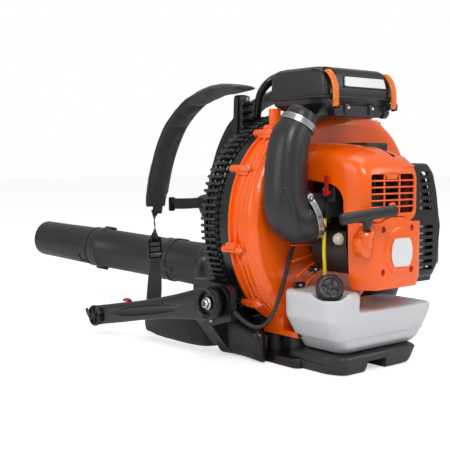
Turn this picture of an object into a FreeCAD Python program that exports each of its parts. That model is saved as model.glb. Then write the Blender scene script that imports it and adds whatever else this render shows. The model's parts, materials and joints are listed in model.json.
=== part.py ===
"""Backpack leaf blower: a parametric assembly of separate sub-parts, in millimetres.

Frame: X to the operator's right, Y forwards (the way the operator faces), Z up.
The floor is Z = 0, the crank axis lies along Y at X = 0, and Y = 0 is the joint
between the two halves of the fan housing.
"""
import FreeCAD
import Part
import Sketcher
import math
import os
from types import SimpleNamespace
from FreeCAD import Placement, Rotation, Vector

DOC = FreeCAD.newDocument("backpack_blower")
SHEET = DOC.addObject("Spreadsheet::Sheet", "Sizes")
SUBPARTS = []

DRIVING = {
    "crank_height": 218, "wall": 2.6, "gap": 0.4, "shaft_radius": 10,
    # fan housing and fan
    "housing_rear": 62, "housing_front": 45, "rim": 5, "fan_radius": 148, "fan_depth": 66,
    "inlet_radius": 82, "outlet_left": 150, "outlet_right": 258, "outlet_height": 140,
    # engine
    "engine_depth": 119, "bore_radius": 25.5, "crank_throw": 18, "pin_radius": 8.4,
    "case_radius": 54, "flywheel_radius": 53, "pulley_radius": 33,
    # engine cover and starter housing
    "cover_left": 82, "cover_right": 72, "cover_rear": 228, "cover_front": 78, "cover_top": 376,
    "cover_rise": 24, "seam_height": 266, "starter_rear": 233, "starter_front": 190, "starter_bottom": 148,
    # muffler and its guard
    "guard_left": 76, "guard_right": 165, "guard_rear": 195, "guard_front": 85,
    "guard_bottom": 168, "guard_top": 362,
    # air filter
    "filter_half": 93, "filter_rear": 150, "filter_bottom": 470.4, "filter_seam": 486, "filter_top": 536,
    # fuel tank and its skid
    "tank_half": 130, "tank_rear": 205, "tank_front": 80, "tank_bottom": 34, "tank_deck": 109,
    "tank_shoulder": 144, "neck_radius": 19, "cap_radius": 24, "skid_height": 33,
    # frame
    "base_half": 118, "base_rear": 108, "base_front": 95, "base_height": 18, "panel_front": 92,
    "panel_thick": 12, "panel_top": 500, "mount_radius": 13,
    # blower tube
    "tube_radius": 54, "tube_wall": 3, "tube_yaw": 14, "tube_pitch": 3.6,
    # throttle arm
    "arm_side": 217, "arm_pivot_y": 14, "arm_pivot_z": 115, "arm_end_y": 392, "arm_end_z": 41,
    # harness
    "strap_side": 85, "strap_width": 64, "strap_thick": 16,
}


class Length:
    """A size that carries both its number and the spreadsheet formula behind it."""

    def __init__(self, number, formula):
        self.number = float(number)
        self.formula = formula

    def combine(self, other, sign, result):
        return Length(result, f"({self.formula} {sign} {formula_of(other)})")

    def __add__(self, other):
        return self.combine(other, "+", self.number + number_of(other))

    def __sub__(self, other):
        return self.combine(other, "-", self.number - number_of(other))

    def __mul__(self, factor):
        return self.combine(factor, "*", self.number * number_of(factor))

    def __truediv__(self, factor):
        return self.combine(factor, "/", self.number / number_of(factor))

    def __neg__(self):
        return Length(-self.number, f"(0 - {self.formula})")

    def __float__(self):
        return self.number


def number_of(size):
    return float(size)


def formula_of(size):
    return size.formula if isinstance(size, Length) else repr(float(size))


def fill_sheet():
    """Write the driving sizes as plain numbers and give each cell its alias."""
    for row, (alias, number) in enumerate(DRIVING.items(), 1):
        SHEET.set(f"A{row}", alias)
        SHEET.set(f"B{row}", str(number))
        SHEET.setAlias(f"B{row}", alias)
    DOC.recompute()
    return SimpleNamespace(**{alias: Length(SHEET.get(alias), f"Sizes.{alias}") for alias in DRIVING})


S = fill_sheet()
AXIS = {"x": Vector(1, 0, 0), "y": Vector(0, 1, 0), "z": Vector(0, 0, 1)}


def at(x, y, z):
    return Vector(float(x), float(y), float(z))


def unit(x, y, z):
    return Vector(x, y, z).normalize()


def bind(item, name, size):
    """Set a property to a size and tie it to the sheet when the size comes from there."""
    setattr(item, name, float(size))
    if isinstance(size, Length):
        item.setExpression(name, size.formula)


def keep(item, label):
    """Register a finished object as the sub-part that the file LABEL.step holds."""
    item.Label = label
    SUBPARTS.append(item)
    return item


def put(item, position, direction=None):
    """Place an object: its own origin at position and its own Z along direction."""
    turn = Rotation(Vector(0, 0, 1), direction) if direction else Rotation()
    item.Placement = Placement(position, turn)
    return item


# ---- Part primitives and booleans -------------------------------------------------

def box(x, y, z):
    """A box between pairs of limits, each a (low, high) pair."""
    item = DOC.addObject("Part::Box", "box")
    for name, (low, high) in zip(("Length", "Width", "Height"), (x, y, z)):
        span = -(low - high) if isinstance(low, Length) and not isinstance(high, Length) else high - low
        bind(item, name, span)
    return put(item, at(x[0], y[0], z[0]))


def cylinder(radius, height, position, direction=AXIS["z"]):
    item = DOC.addObject("Part::Cylinder", "cylinder")
    bind(item, "Radius", radius)
    bind(item, "Height", height)
    return put(item, position, direction)


def fuse(*items):
    item = DOC.addObject("Part::MultiFuse", "fusion")
    item.Shapes = list(items)
    return item


def cut(base, *tools):
    item = DOC.addObject("Part::Cut", "cut")
    item.Base = base
    item.Tool = tools[0] if len(tools) == 1 else fuse(*tools)
    return item


def shaped(shape, position=None, direction=None):
    """A free-form piece whose shape comes from Part's own functions."""
    item = DOC.addObject("Part::Feature", "shape")
    item.Shape = shape
    if position:
        put(item, position, direction)
    return item


# ---- PartDesign bodies ------------------------------------------------------------

def new_body():
    return DOC.addObject("PartDesign::Body", "body")


def outline(owner, plane, points, offset=0):
    """A sketch of straight edges on an origin plane; every corner is tied to its sizes."""
    sketch = owner.newObject("Sketcher::SketchObject", "outline")
    support = next(item for item in owner.Origin.OriginFeatures if item.Role == plane)
    sketch.AttachmentSupport = [(support, "")]
    sketch.MapMode = "FlatFace"
    sketch.AttachmentOffset = Placement(at(0, 0, offset), Rotation())
    if isinstance(offset, Length):
        sketch.setExpression("AttachmentOffset.Base.z", offset.formula)
    corners = [at(x, y, 0) for x, y in points]
    for index, corner in enumerate(corners):
        sketch.addGeometry(Part.LineSegment(corner, corners[(index + 1) % len(corners)]))
    for index, (x, y) in enumerate(points):
        sketch.addConstraint(constraint("Coincident", index, 2, (index + 1) % len(points), 1))
        for kind, size in (("DistanceX", x), ("DistanceY", y)):
            number = sketch.addConstraint(constraint(kind, -1, 1, index, 1, float(size)))
            if isinstance(size, Length):
                sketch.setExpression(f"Constraints[{number}]", size.formula)
    return sketch


def ring_sketch(owner, plane, circles, offset=0):
    """A sketch of circles, each (x, y, radius), on an origin plane."""
    sketch = owner.newObject("Sketcher::SketchObject", "circles")
    support = next(item for item in owner.Origin.OriginFeatures if item.Role == plane)
    sketch.AttachmentSupport = [(support, "")]
    sketch.MapMode = "FlatFace"
    sketch.AttachmentOffset = Placement(at(0, 0, offset), Rotation())
    for index, (x, y, radius) in enumerate(circles):
        sketch.addGeometry(Part.Circle(at(x, y, 0), Vector(0, 0, 1), float(radius)))
        number = sketch.addConstraint(constraint("Radius", index, float(radius)))
        if isinstance(radius, Length):
            sketch.setExpression(f"Constraints[{number}]", radius.formula)
        sketch.addConstraint(constraint("DistanceX", -1, 1, index, 3, float(x)))
        sketch.addConstraint(constraint("DistanceY", -1, 1, index, 3, float(y)))
    return sketch


def constraint(*terms):
    return Sketcher.Constraint(*terms)


def grow(owner, kind, sketch, length, both_ways=False, other_way=False):
    """Add a Pad or Pocket of a sketch and check that it changed the volume."""
    before = owner.Shape.Volume if owner.Shape and not owner.Shape.isNull() else 0.0
    feature = owner.newObject(f"PartDesign::{kind}", kind.lower())
    feature.Profile = sketch
    bind(feature, "Length", length)
    if both_ways:
        feature.SideType = "Symmetric"
    feature.Reversed = other_way
    DOC.recompute()
    if abs(owner.Shape.Volume - before) < 1.0:
        raise RuntimeError(f"{kind} on {owner.Name} changed nothing")
    return feature


def pad(owner, plane, points, length, offset=0, **ways):
    return grow(owner, "Pad", outline(owner, plane, points, offset), length, **ways)


def pocket(owner, plane, points, length, offset=0, **ways):
    return grow(owner, "Pocket", outline(owner, plane, points, offset), length, **ways)


def turned(points):
    """A body turned about its own Z from (radius, height) corners."""
    owner = new_body()
    sketch = outline(owner, "XZ_Plane", points)
    feature = owner.newObject("PartDesign::Revolution", "turn")
    feature.Profile = sketch
    feature.ReferenceAxis = (sketch, ["V_Axis"])
    feature.Angle = 360
    DOC.recompute()
    return owner


def around(owner, feature, count):
    """Repeat the latest feature around the body's own Z."""
    pattern = owner.newObject("PartDesign::PolarPattern", "around")
    pattern.Originals = [feature]
    pattern.Axis = (next(item for item in owner.Origin.OriginFeatures if item.Role == "Z_Axis"), [""])
    pattern.Angle = 360
    pattern.Occurrences = count
    owner.Tip = pattern
    DOC.recompute()
    return pattern


def rounded(owner, radius, chosen):
    """Fillet the edges for which chosen(edge middle, edge) holds."""
    DOC.recompute()
    base = owner.Tip
    names = []
    for number, edge in enumerate(base.Shape.Edges, 1):
        middle = edge.valueAt((edge.FirstParameter + edge.LastParameter) / 2)
        if chosen(middle, edge):
            names.append(f"Edge{number}")
    feature = owner.newObject("PartDesign::Fillet", "round")
    feature.Base = (base, names)
    bind(feature, "Radius", radius)
    DOC.recompute()
    return feature


# ---- curves and sweeps ------------------------------------------------------------

def extruded(points, plane_at, travel):
    """A solid from a closed polygon; plane_at turns a 2-D corner into a point in space."""
    corners = [plane_at(*point) for point in points]
    return Part.Face(Part.makePolygon(corners + corners[:1])).extrude(travel)


def band(points, thickness, plane_at, travel):
    """A strap-like solid that follows a smooth open line with an even thickness."""
    line = Part.BSplineCurve()
    line.interpolate([Vector(u, v, 0) for u, v in points])
    first, last = line.FirstParameter, line.LastParameter
    sides = ([], [])
    steps = 3 * len(points)
    for step in range(steps + 1):
        place = first + (last - first) * step / steps
        spot, along = line.value(place), line.tangent(place)[0]
        across = Vector(-along.y, along.x, 0) * (thickness / 2)
        sides[0].append(spot + across)
        sides[1].append(spot - across)
    curves = []
    for side in sides:
        edge = Part.BSplineCurve()
        edge.interpolate([plane_at(spot.x, spot.y) for spot in side])
        curves.append(edge.toShape())
    ends = [Part.LineSegment(plane_at(sides[0][end].x, sides[0][end].y),
                             plane_at(sides[1][end].x, sides[1][end].y)).toShape() for end in (0, -1)]
    outline_wire = Part.Wire(Part.__sortEdges__([curves[0], ends[1], curves[1], ends[0]]))
    return Part.Face(outline_wire).extrude(travel)


def bent_path(points):
    """Straight runs joined by tangent arcs as large as the shorter run beside each corner allows."""
    edges, start, radii = [], points[0], []
    for before, corner, after in zip(points, points[1:], points[2:]):
        run_in, run_out = corner - before, after - corner
        half_turn = run_in.getAngle(run_out) / 2
        reach = 0.45 * min(run_in.Length, run_out.Length)
        radii.append(reach / math.tan(half_turn))
        into = corner - run_in.normalize() * reach
        away = corner + run_out.normalize() * reach
        heart = (into + away) * 0.5 - corner
        middle = corner + heart.normalize() * (radii[-1] / math.cos(half_turn) - radii[-1])
        edges += [Part.LineSegment(start, into).toShape(), Part.Arc(into, middle, away).toShape()]
        start = away
    edges.append(Part.LineSegment(start, points[-1]).toShape())
    return Part.Wire(edges), radii


def swept(points, radius, name=""):
    """A round tube or cord along a bent path; reports its radii and checks its volume."""
    path, radii = bent_path(points)
    first = path.Edges[0]
    circle = Part.Wire(Part.Circle(points[0], first.tangentAt(first.FirstParameter),
                                   float(radius)).toShape())
    solid = path.makePipeShell([circle], True, False)
    expected = math.pi * float(radius) ** 2 * path.Length
    print(f"{name}: length {path.Length:.1f}, radii {[round(r, 1) for r in radii]}, "
          f"volume ratio {solid.Volume / expected:.4f}")
    return solid


def pipe(start, end, radius, inner):
    """A straight hollow tube between two points."""
    along = end - start
    outer = Part.makeCylinder(radius, along.Length, start, along)
    return outer.cut(Part.makeCylinder(inner, along.Length, start, along))


def in_rear_view(depth):
    """Corners given as (x, z) lie in the vertical plane Y = depth."""
    return lambda x, z: at(x, depth, z)


def in_side_view(side):
    """Corners given as (y, z) lie in the vertical plane X = side."""
    return lambda y, z: at(side, y, z)


# ---- fan housing --------------------------------------------------------------------

SCROLL = [(150, 140), (96, 86), (0, 56), (-118, 98), (-181, 218), (-153, 368), (-85, 430), (0, 458),
          (90, 464), (165, 447), (222, 402), (252, 330), (258, 262)]
LUGS = [(-141, 364), (-188, 218), (-140, 109), (235, 404), (162, 458), (-97, 430)]


def scroll_face(inset, depth, mouth):
    """The housing outline drawn in by inset; its outlet runs down to the height mouth."""
    centre = at(0, depth, S.crank_height)
    spots = []
    for x, z in SCROLL:
        arm = at(x, depth, z) - centre
        spots.append(centre + arm * ((arm.Length - inset) / arm.Length))
    left, right = float(S.outlet_left) + inset, float(S.outlet_right) - inset
    spots[0] = at(left, depth, spots[0].z)
    spots[-1] = at(right, depth, spots[-1].z)
    curve = Part.BSplineCurve()
    curve.interpolate(spots)
    corners = [spots[-1], at(right, depth, mouth), at(left, depth, mouth)]
    if mouth < spots[0].z - 0.01:
        corners.append(spots[0])
    else:
        corners[-1] = spots[0]
    edges = [curve.toShape()] + [Part.LineSegment(a, b).toShape() for a, b in zip(corners, corners[1:])]
    return Part.Face(Part.Wire(edges))


def half_housing(rear, front, closed_rear, corner):
    """One hollow half of the scroll between two depths, with a rounded outer edge and a rim."""
    wall, rim, mouth = float(S.wall), float(S.rim), float(S.outlet_height)
    closed = rear if closed_rear else front
    joint = front if closed_rear else rear
    side = 1 if closed_rear else -1
    outer = scroll_face(0, closed, mouth).extrude(Vector(0, joint - closed, 0))
    edges = [edge for edge in outer.Edges
             if edge.BoundBox.YLength < 1 and abs(edge.BoundBox.YMin - closed) < 0.1
             and edge.BoundBox.ZMax > mouth + 1]
    outer = outer.makeFillet(corner, edges)
    inner = scroll_face(wall, closed + side * wall, mouth - 10).extrude(Vector(0, joint - closed, 0))
    edges = [edge for edge in inner.Edges
             if edge.BoundBox.YLength < 1 and abs(edge.BoundBox.YMin - closed - side * wall) < 0.1
             and edge.BoundBox.ZMax > mouth + 1 and edge.BoundBox.ZLength > 12]
    inner = inner.makeFillet(corner - wall, edges)
    flange = scroll_face(-rim, joint, mouth).extrude(Vector(0, -side * rim, 0))
    below_mouth = Part.makeBox(140, 200, 60, at(146, -100, mouth - 60))
    return outer.fuse(flange).cut(below_mouth), inner


def volute_rear():
    """Engine-side half of the fan housing with its bolt lugs, feet and filter post."""
    rear = -float(S.housing_rear)
    shell, hollow = half_housing(rear, 0, True, 26)
    extras = [Part.makeCylinder(8, 24.6, at(x, -25, z), AXIS["y"]) for x, z in LUGS]
    for side in (-1, 1):
        extras.append(Part.makeBox(26, 44, 44, at(side * 85 - 13, -50, 51)))
        extras.append(Part.makeBox(30, 90, 10, at(side * 85 - 15, -90, 51)))
    extras.append(Part.makeCylinder(11, 72, at(-88, -14, 395)))
    shaft_hole = Part.makeCylinder(float(S.case_radius) - 12, 30, at(0, rear - 10, S.crank_height),
                                   AXIS["y"])
    solid = shell.fuse(extras).cut(hollow).cut(shaft_hole)
    return keep(shaped(solid.removeSplitter()), "volute_rear")


def volute_front():
    """Operator-side half of the fan housing with the round air inlet."""
    front = float(S.housing_front)
    shell, hollow = half_housing(float(S.gap), front, False, 20)
    inlet = Part.makeCylinder(float(S.inlet_radius), 40, at(0, front - 20, S.crank_height), AXIS["y"])
    return keep(shaped(shell.cut(hollow).cut(inlet).removeSplitter()), "volute_front")


def intake_guard():
    """Ribbed ring between the housing and the back panel; air enters between its ribs."""
    near, far = float(S.housing_front) + 0.5, float(S.panel_front) - float(S.panel_thick) - 0.5
    depth = Vector(0, far - near, 0)
    ring = scroll_face(4, near, 158).extrude(depth).cut(scroll_face(16, near, 120).extrude(depth))
    hoop = scroll_face(4, near, 158).extrude(Vector(0, 5, 0))
    hoop = hoop.cut(scroll_face(26, near, 120).extrude(Vector(0, 5, 0)))
    ring = ring.fuse(hoop)
    slots = []
    centre = at(0, near + 8, S.crank_height)
    for step in range(30):
        angle = math.radians(92 + 5 * step)
        slot = Part.makeBox(60, far - near - 14, 9, Vector(-30, 0, -4.5))
        slot.rotate(Vector(0, 0, 0), AXIS["y"], -math.degrees(angle))
        slot.translate(centre + Vector(math.cos(angle), 0, math.sin(angle)) * 190)
        slots.append(slot)
    slots.append(Part.makeBox(160, 60, 60, at(120, near - 10, 104)))
    return keep(shaped(ring.cut(Part.makeCompound(slots))), "intake_guard")


def impeller():
    """Fan wheel: hub and back plate turned in one, with curved blades around them."""
    radius = S.fan_radius
    bore = S.shaft_radius + 0.05
    wheel = turned([(bore, 0), (radius, 0), (radius, 3), (34, 4), (26, 40), (bore, 40)])
    outer = radius * 0.9
    curve = [(33, -1.5), (70, 6), (110, 26), (outer, 52), (outer - 2, 56), (107, 30), (68, 10), (33, 2)]
    blade = pad(wheel, "XY_Plane", curve, S.fan_depth - 4, offset=2)
    around(wheel, blade, 11)
    return keep(put(wheel, at(0, -50, S.crank_height), AXIS["y"]), "impeller")


def outlet_elbow():
    """Flanged bend that turns the downward outlet forwards into the hose."""
    top, bend = float(S.outlet_height) - 0.4, 58
    start = at(204, -8.5, top)
    heart = start + Vector(0, bend, 0)
    middle = heart + unit(0, -1, -1) * bend
    foot = heart - AXIS["z"] * bend
    bend_arc = Part.Arc(start, middle, foot).toShape()
    path = Part.Wire([bend_arc, Part.LineSegment(foot, HOSE_START).toShape()])
    sections = [Part.Wire(Part.Circle(start, AXIS["z"], radius).toShape())
                for radius in (float(S.tube_radius), float(S.tube_radius - S.tube_wall))]
    outer, inner = (path.makePipeShell([section], True, False) for section in sections)
    plate = Part.makeBox(118, 118, 6, at(145, -67.5, top - 6))
    return keep(shaped(outer.fuse(plate).cut(inner)), "outlet_elbow")


# ---- blower tube ----------------------------------------------------------------------

DUCT_TURN = unit(0.94, -0.3, 0.1)
HOSE_START = Vector(204, 100, DRIVING["outlet_height"] - 0.4 - 58)


def tube_point(distance):
    """A point on the blower tube's axis, measured from its front collar."""
    return at(168, 490, 106) + tube_direction() * distance


def tube_direction():
    yaw, pitch = math.radians(float(S.tube_yaw)), math.radians(float(S.tube_pitch))
    return unit(-math.sin(yaw) * math.cos(pitch), math.cos(yaw) * math.cos(pitch), math.sin(pitch))


def bellows(start, end, pitch):
    """A corrugated hose: short wide and narrow rings in turn along a straight axis."""
    along = end - start
    count = int(along.Length // pitch)
    step = along.Length / count
    radius, inner = float(S.tube_radius) + 2, float(S.tube_radius) - 5
    profile = [Vector(inner, 0, 0)]
    for ring in range(count):
        low = ring * step
        profile += [Vector(radius - 4, 0, low), Vector(radius, 0, low + step * 0.3)]
        profile.append(Vector(radius, 0, low + step * 0.7))
    profile += [Vector(radius - 4, 0, along.Length), Vector(inner, 0, along.Length)]
    solid = Part.Face(Part.makePolygon(profile + profile[:1])).revolve(Vector(), AXIS["z"], 360)
    solid.Placement = Placement(start, Rotation(AXIS["z"], along))
    return solid


def hose_rear_section():
    return keep(shaped(bellows(HOSE_START + Vector(0, 62, 0), at(203, 268, 86), 10)), "hose_rear_section")


def hose_front_section():
    return keep(shaped(bellows(at(199, 316, 91), tube_point(-73), 10)), "hose_front_section")


def turned_tube(label, corners, start):
    """A tube turned from (radius, distance) corners and laid on the blower axis."""
    return keep(put(turned(corners), tube_point(start), tube_direction()), label)


def swivel_tube():
    r = S.tube_radius
    corners = [(r - 4, 0), (r + 1, 0), (r + 1, 44), (r + 5, 52), (r + 5, 72), (r, 82), (r, 184),
               (r - 4, 184)]
    return turned_tube("swivel_tube", corners, -60)


def mid_tube():
    r = S.tube_radius
    corners = [(r - 7, 0), (r - 0.5, 0), (r - 0.5, 10), (r - 2, 12), (r - 3, 234), (r, 236), (r, 262),
               (r - 7, 262)]
    return turned_tube("mid_tube", corners, 124.5)


def nozzle_tube():
    r = S.tube_radius
    corners = [(r - 8, 0), (r - 1, 0), (r - 1, 8), (r - 4, 12), (r - 5, 178), (r - 5, 223), (r - 9, 223),
               (r - 9, 178)]
    return turned_tube("nozzle_tube", corners, 387)


def tube_handle():
    """Clamp ring around the swivel tube with a grip that leans forwards."""
    foot = tube_point(-54)
    ring = pipe(foot, foot + tube_direction() * 30, 62, float(S.tube_radius) + 1.4)
    start = foot + tube_direction() * 15 + Vector(0, 0, 56)
    lean = unit(-0.05, 0.58, 0.81)
    grip = Part.makeCylinder(19, 146, start, lean)
    crown = [edge for edge in grip.Edges if edge.BoundBox.ZMin > start.z + 60 and edge.Closed]
    grip = grip.makeFillet(5, crown)
    bore = Part.makeCylinder(float(S.tube_radius) + 1.4, 60, foot - tube_direction() * 15, tube_direction())
    collar = Part.makeCylinder(float(S.tube_radius) + 7, 60, foot + tube_direction() * 30, tube_direction())
    return keep(shaped(ring.fuse(grip.cut(bore).cut(collar))), "tube_handle")


# ---- engine -----------------------------------------------------------------------------

def crankshaft():
    """Crank with two webs, an offset pin, and journals for the fan and the flywheel."""
    pieces = [cylinder(S.shaft_radius, 62, at(0, -196, S.crank_height), AXIS["y"]),
              cylinder(S.shaft_radius, 88, at(0, -100, S.crank_height), AXIS["y"]),
              cylinder(36, 9, at(0, -136, S.crank_height), AXIS["y"]),
              cylinder(36, 9, at(0, -109, S.crank_height), AXIS["y"]),
              cylinder(S.pin_radius, 20, at(0, -128, S.crank_height + S.crank_throw), AXIS["y"])]
    return keep(fuse(*pieces), "crankshaft")


def crankcase():
    """Case around the crank chamber, open at the top where the cylinder bolts on."""
    middle = at(0, -165, S.crank_height)
    shell = fuse(cylinder(S.case_radius, 88, middle, AXIS["y"]), box((-42, 42), (-160, -80), (225, 266)))
    chamber = cylinder(40, 44, at(0, -141, S.crank_height), AXIS["y"])
    shaft = cylinder(S.shaft_radius + 0.05, 160, at(0, -190, S.crank_height), AXIS["y"])
    throat = cylinder(S.bore_radius + 6, 80, at(0, -S.engine_depth, S.crank_height))
    nose = cylinder(32, 26, at(0, -79, S.crank_height), AXIS["y"])
    deck = box((-70, 70), (-180, -60), (266, 300))
    return keep(cut(fuse(shell, nose), chamber, shaft, throat, deck), "crankcase")


def engine_cylinder():
    """Finned barrel and head turned about the bore, with the plug hole on top."""
    bore = S.bore_radius + 0.05
    profile = [(bore, 0), (44, 0), (44, 5), (31, 5)]
    for fin in range(7):
        low = 12 + 8 * fin
        profile += [(31, low), (44, low), (44, low + 3), (31, low + 3)]
    profile += [(31, 70), (44, 70), (44, 73), (14, 78), (5.1, 78), (5.1, 66), (bore, 62)]
    return keep(put(turned(profile), at(0, -S.engine_depth, 266.4)), "engine_cylinder")


def piston():
    profile = [(0, 30), (20, 30), (20, 0), (S.bore_radius - 0.05, 0), (S.bore_radius - 0.05, 34), (0, 36)]
    shell = put(turned(profile), at(0, -S.engine_depth, 272))
    pin = cylinder(5, 44, at(0, -S.engine_depth - 22, 284), AXIS["y"])
    return keep(fuse(shell, pin), "piston")


def connecting_rod():
    """Rod whose lower eye is opened out around the crank pin's whole orbit."""
    eye = cut(cylinder(34, 8, at(0, -S.engine_depth - 4, S.crank_height), AXIS["y"]),
              cylinder(28, 20, at(0, -S.engine_depth - 10, S.crank_height), AXIS["y"]))
    shank = box((-5, 5), (-S.engine_depth - 4, -S.engine_depth + 4), (250, 276))
    top = cylinder(9, 8, at(0, -S.engine_depth - 4, 284), AXIS["y"])
    return keep(cut(fuse(eye, shank, top), cylinder(5, 30, at(0, -S.engine_depth - 15, 284), AXIS["y"])),
                "connecting_rod")


def flywheel():
    wheel = turned([(S.shaft_radius + 0.05, 0), (S.flywheel_radius, 0), (S.flywheel_radius, 5), (20, 8),
                    (18, 22), (S.shaft_radius + 0.05, 22)])
    fin = pad(wheel, "XY_Plane", [(22, -1.2), (S.flywheel_radius - 2, 8), (S.flywheel_radius - 2, 11),
                                  (22, 1.2)], 12, offset=4)
    around(wheel, fin, 14)
    return keep(put(wheel, at(0, -170, S.crank_height), Vector(0, -1, 0)), "flywheel")


def ignition_coil():
    leg = [box((x - 6, x + 6), (-184, -172), (274, 292)) for x in (-18, 18)]
    return keep(fuse(box((-24, 24), (-186, -170), (288, 312)), *leg), "ignition_coil")


def spark_plug():
    profile = [(0, 0), (5, 0), (5, 12), (10, 12), (10, 20), (5.5, 22), (4, 40), (0, 40)]
    return keep(put(turned(profile), at(0, -S.engine_depth, 332.6)), "spark_plug")


def plug_cap():
    """Rubber boot on the plug with its lead run down to the coil."""
    boot = cylinder(11, 26, at(0, -S.engine_depth, 355.5))
    socket = cylinder(5.6, 19.4, at(0, -S.engine_depth, 354))
    arm = cylinder(6, 34, at(0, -S.engine_depth - 4, 374), Vector(0, -1, 0))
    lead = shaped(swept([at(0, -157, 374), at(0, -178, 366), at(0, -180, 340), at(0, -178, 312.3)], 3,
                        "plug lead"))
    return keep(fuse(cut(fuse(boot, arm), socket), lead), "plug_cap")


def muffler():
    """Rounded steel box with its stub to the exhaust port."""
    body = new_body()
    pad(body, "XY_Plane", [(56, -176), (148, -176), (148, -96), (56, -96)], 112)
    rounded(body, 12, lambda middle, edge: True)
    body.Placement = Placement(at(0, 0, 222), Rotation())
    hollow = box((61, 143), (-171, -101), (227, 329))
    stub = cylinder(14, 12, at(45, -S.engine_depth, 295), AXIS["x"])
    return keep(fuse(cut(body, hollow), stub), "muffler")


def muffler_guard():
    """Slotted heat guard wrapped round the muffler, with a wider pad on its lower half."""
    left, right, rear, front = (float(v) for v in (S.guard_left, S.guard_right, S.guard_rear,
                                                   S.guard_front))
    low, high = float(S.guard_bottom), float(S.guard_top)
    shape = [(left, low), (right, low), (right + 4, low + 82), (right - 4, high - 52),
             (right - 16, high - 16), (right - 34, high), (left, high)]
    block = extruded(shape, in_rear_view(-rear), Vector(0, rear - front, 0))
    corner = [edge for edge in block.Edges
              if edge.BoundBox.YLength < 1 and abs(edge.BoundBox.YMin + rear) < 0.1
              and edge.BoundBox.XMax > left + 2 and edge.BoundBox.XMin > left + 1]
    block = block.makeFillet(9, corner)
    inner = [(left - 5, low + 3), (right - 3, low + 3), (right + 1, low + 82), (right - 7, high - 52),
             (right - 18, high - 18), (right - 35, high - 3), (left - 5, high - 3)]
    block = block.cut(extruded(inner, in_rear_view(3 - rear), Vector(0, rear - front + 20, 0)))
    slots = [Part.makeBox(right - left - 34, 14, 7, at(left + 12, -rear - 5, z)) for z in slot_heights()]
    slots += [Part.makeBox(30, rear - front - 44, 7, at(right - 18, 22 - rear, z)) for z in slot_heights()]
    bumper = Part.makeBox(8, 70, 84, at(right + 2, 14 - rear, low + 2))
    foot = Part.makeBox(60, 60, 20, at(left + 10, 12 - rear, low - 20))
    return keep(shaped(block.cut(Part.makeCompound(slots)).fuse([bumper, foot])), "muffler_guard")


def slot_heights():
    low = float(S.guard_bottom)
    return [low + 12 + 13 * step for step in range(5)] + [low + 92 + 13 * step for step in range(7)]


def engine_cover():
    """Sloping top shell over the cylinder: rear grille, side opening and a raised tab recess."""
    left, right, rear, front = (float(v) for v in (S.cover_left, S.cover_right, S.cover_rear,
                                                   S.cover_front))
    seam, top, rise, wall = float(S.seam_height) + 0.4, float(S.cover_top), float(S.cover_rise), float(S.wall)
    profile = [(-rear, seam), (-front, seam), (-front, top + rise), (-rear + 26, top)]

    def block(inset):
        side = [(y + (inset if index in (0, 3) else 0), z - (inset if index > 1 else 0))
                for index, (y, z) in enumerate(profile)]
        side[3:] = [(side[3][0], side[3][1]), (-rear + inset, top - 24)]
        solid = extruded(side, in_side_view(-left + inset), Vector(left + right - 2 * inset, 0, 0))
        edges = [edge for edge in solid.Edges if edge.Length > 20 and edge.BoundBox.ZMax > seam + 1
                 and edge.BoundBox.YMin < -front - 1]
        return solid.makeFillet(14 - inset, edges)

    shell = block(0).cut(block(wall))
    within = left + right - 2 * wall
    shell = shell.cut(Part.makeBox(within, 60, top - seam, at(wall - left, -front - 5, seam - 5)))
    shell = shell.cut(Part.makeBox(within, rear - front, 6, at(wall - left, wall - rear, seam - 3)))
    port = extruded([(-front + 5, 255), (-184, 255), (-184, 330), (-172, 345), (-front + 5, 352)],
                    in_side_view(-left - 10), Vector(30, 0, 0))
    exhaust = Part.makeBox(30, 96, 86, at(right - 15, -184, 262))
    grille = Part.makeBox(113, 20, 69, at(-63, -rear - 8, 281))
    bars = [Part.makeBox(113, 4, 3.4, at(-63, -rear, 281 + 69 * step / 6 - 1.7)) for step in range(1, 6)]
    bars += [Part.makeBox(4, 4, 69, at(x, -rear, 281)) for x in (-26, 12)]
    recess = Part.makeBox(44, 60, 5, at(8, -200, top + 1.5))
    recess.rotate(at(8, -200, top + 1.5), AXIS["x"], 10)
    shell = shell.cut(Part.makeCompound([port, exhaust, grille])).cut(recess).fuse(bars)
    boss = Part.makeCylinder(7, 8, at(-left - 2, -100, 368), AXIS["x"])
    boss = boss.cut(Part.makeCylinder(3, 30, at(-left - 12, -100, 368), AXIS["x"]))
    return keep(shaped(shell.fuse(boss)), "engine_cover")


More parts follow.
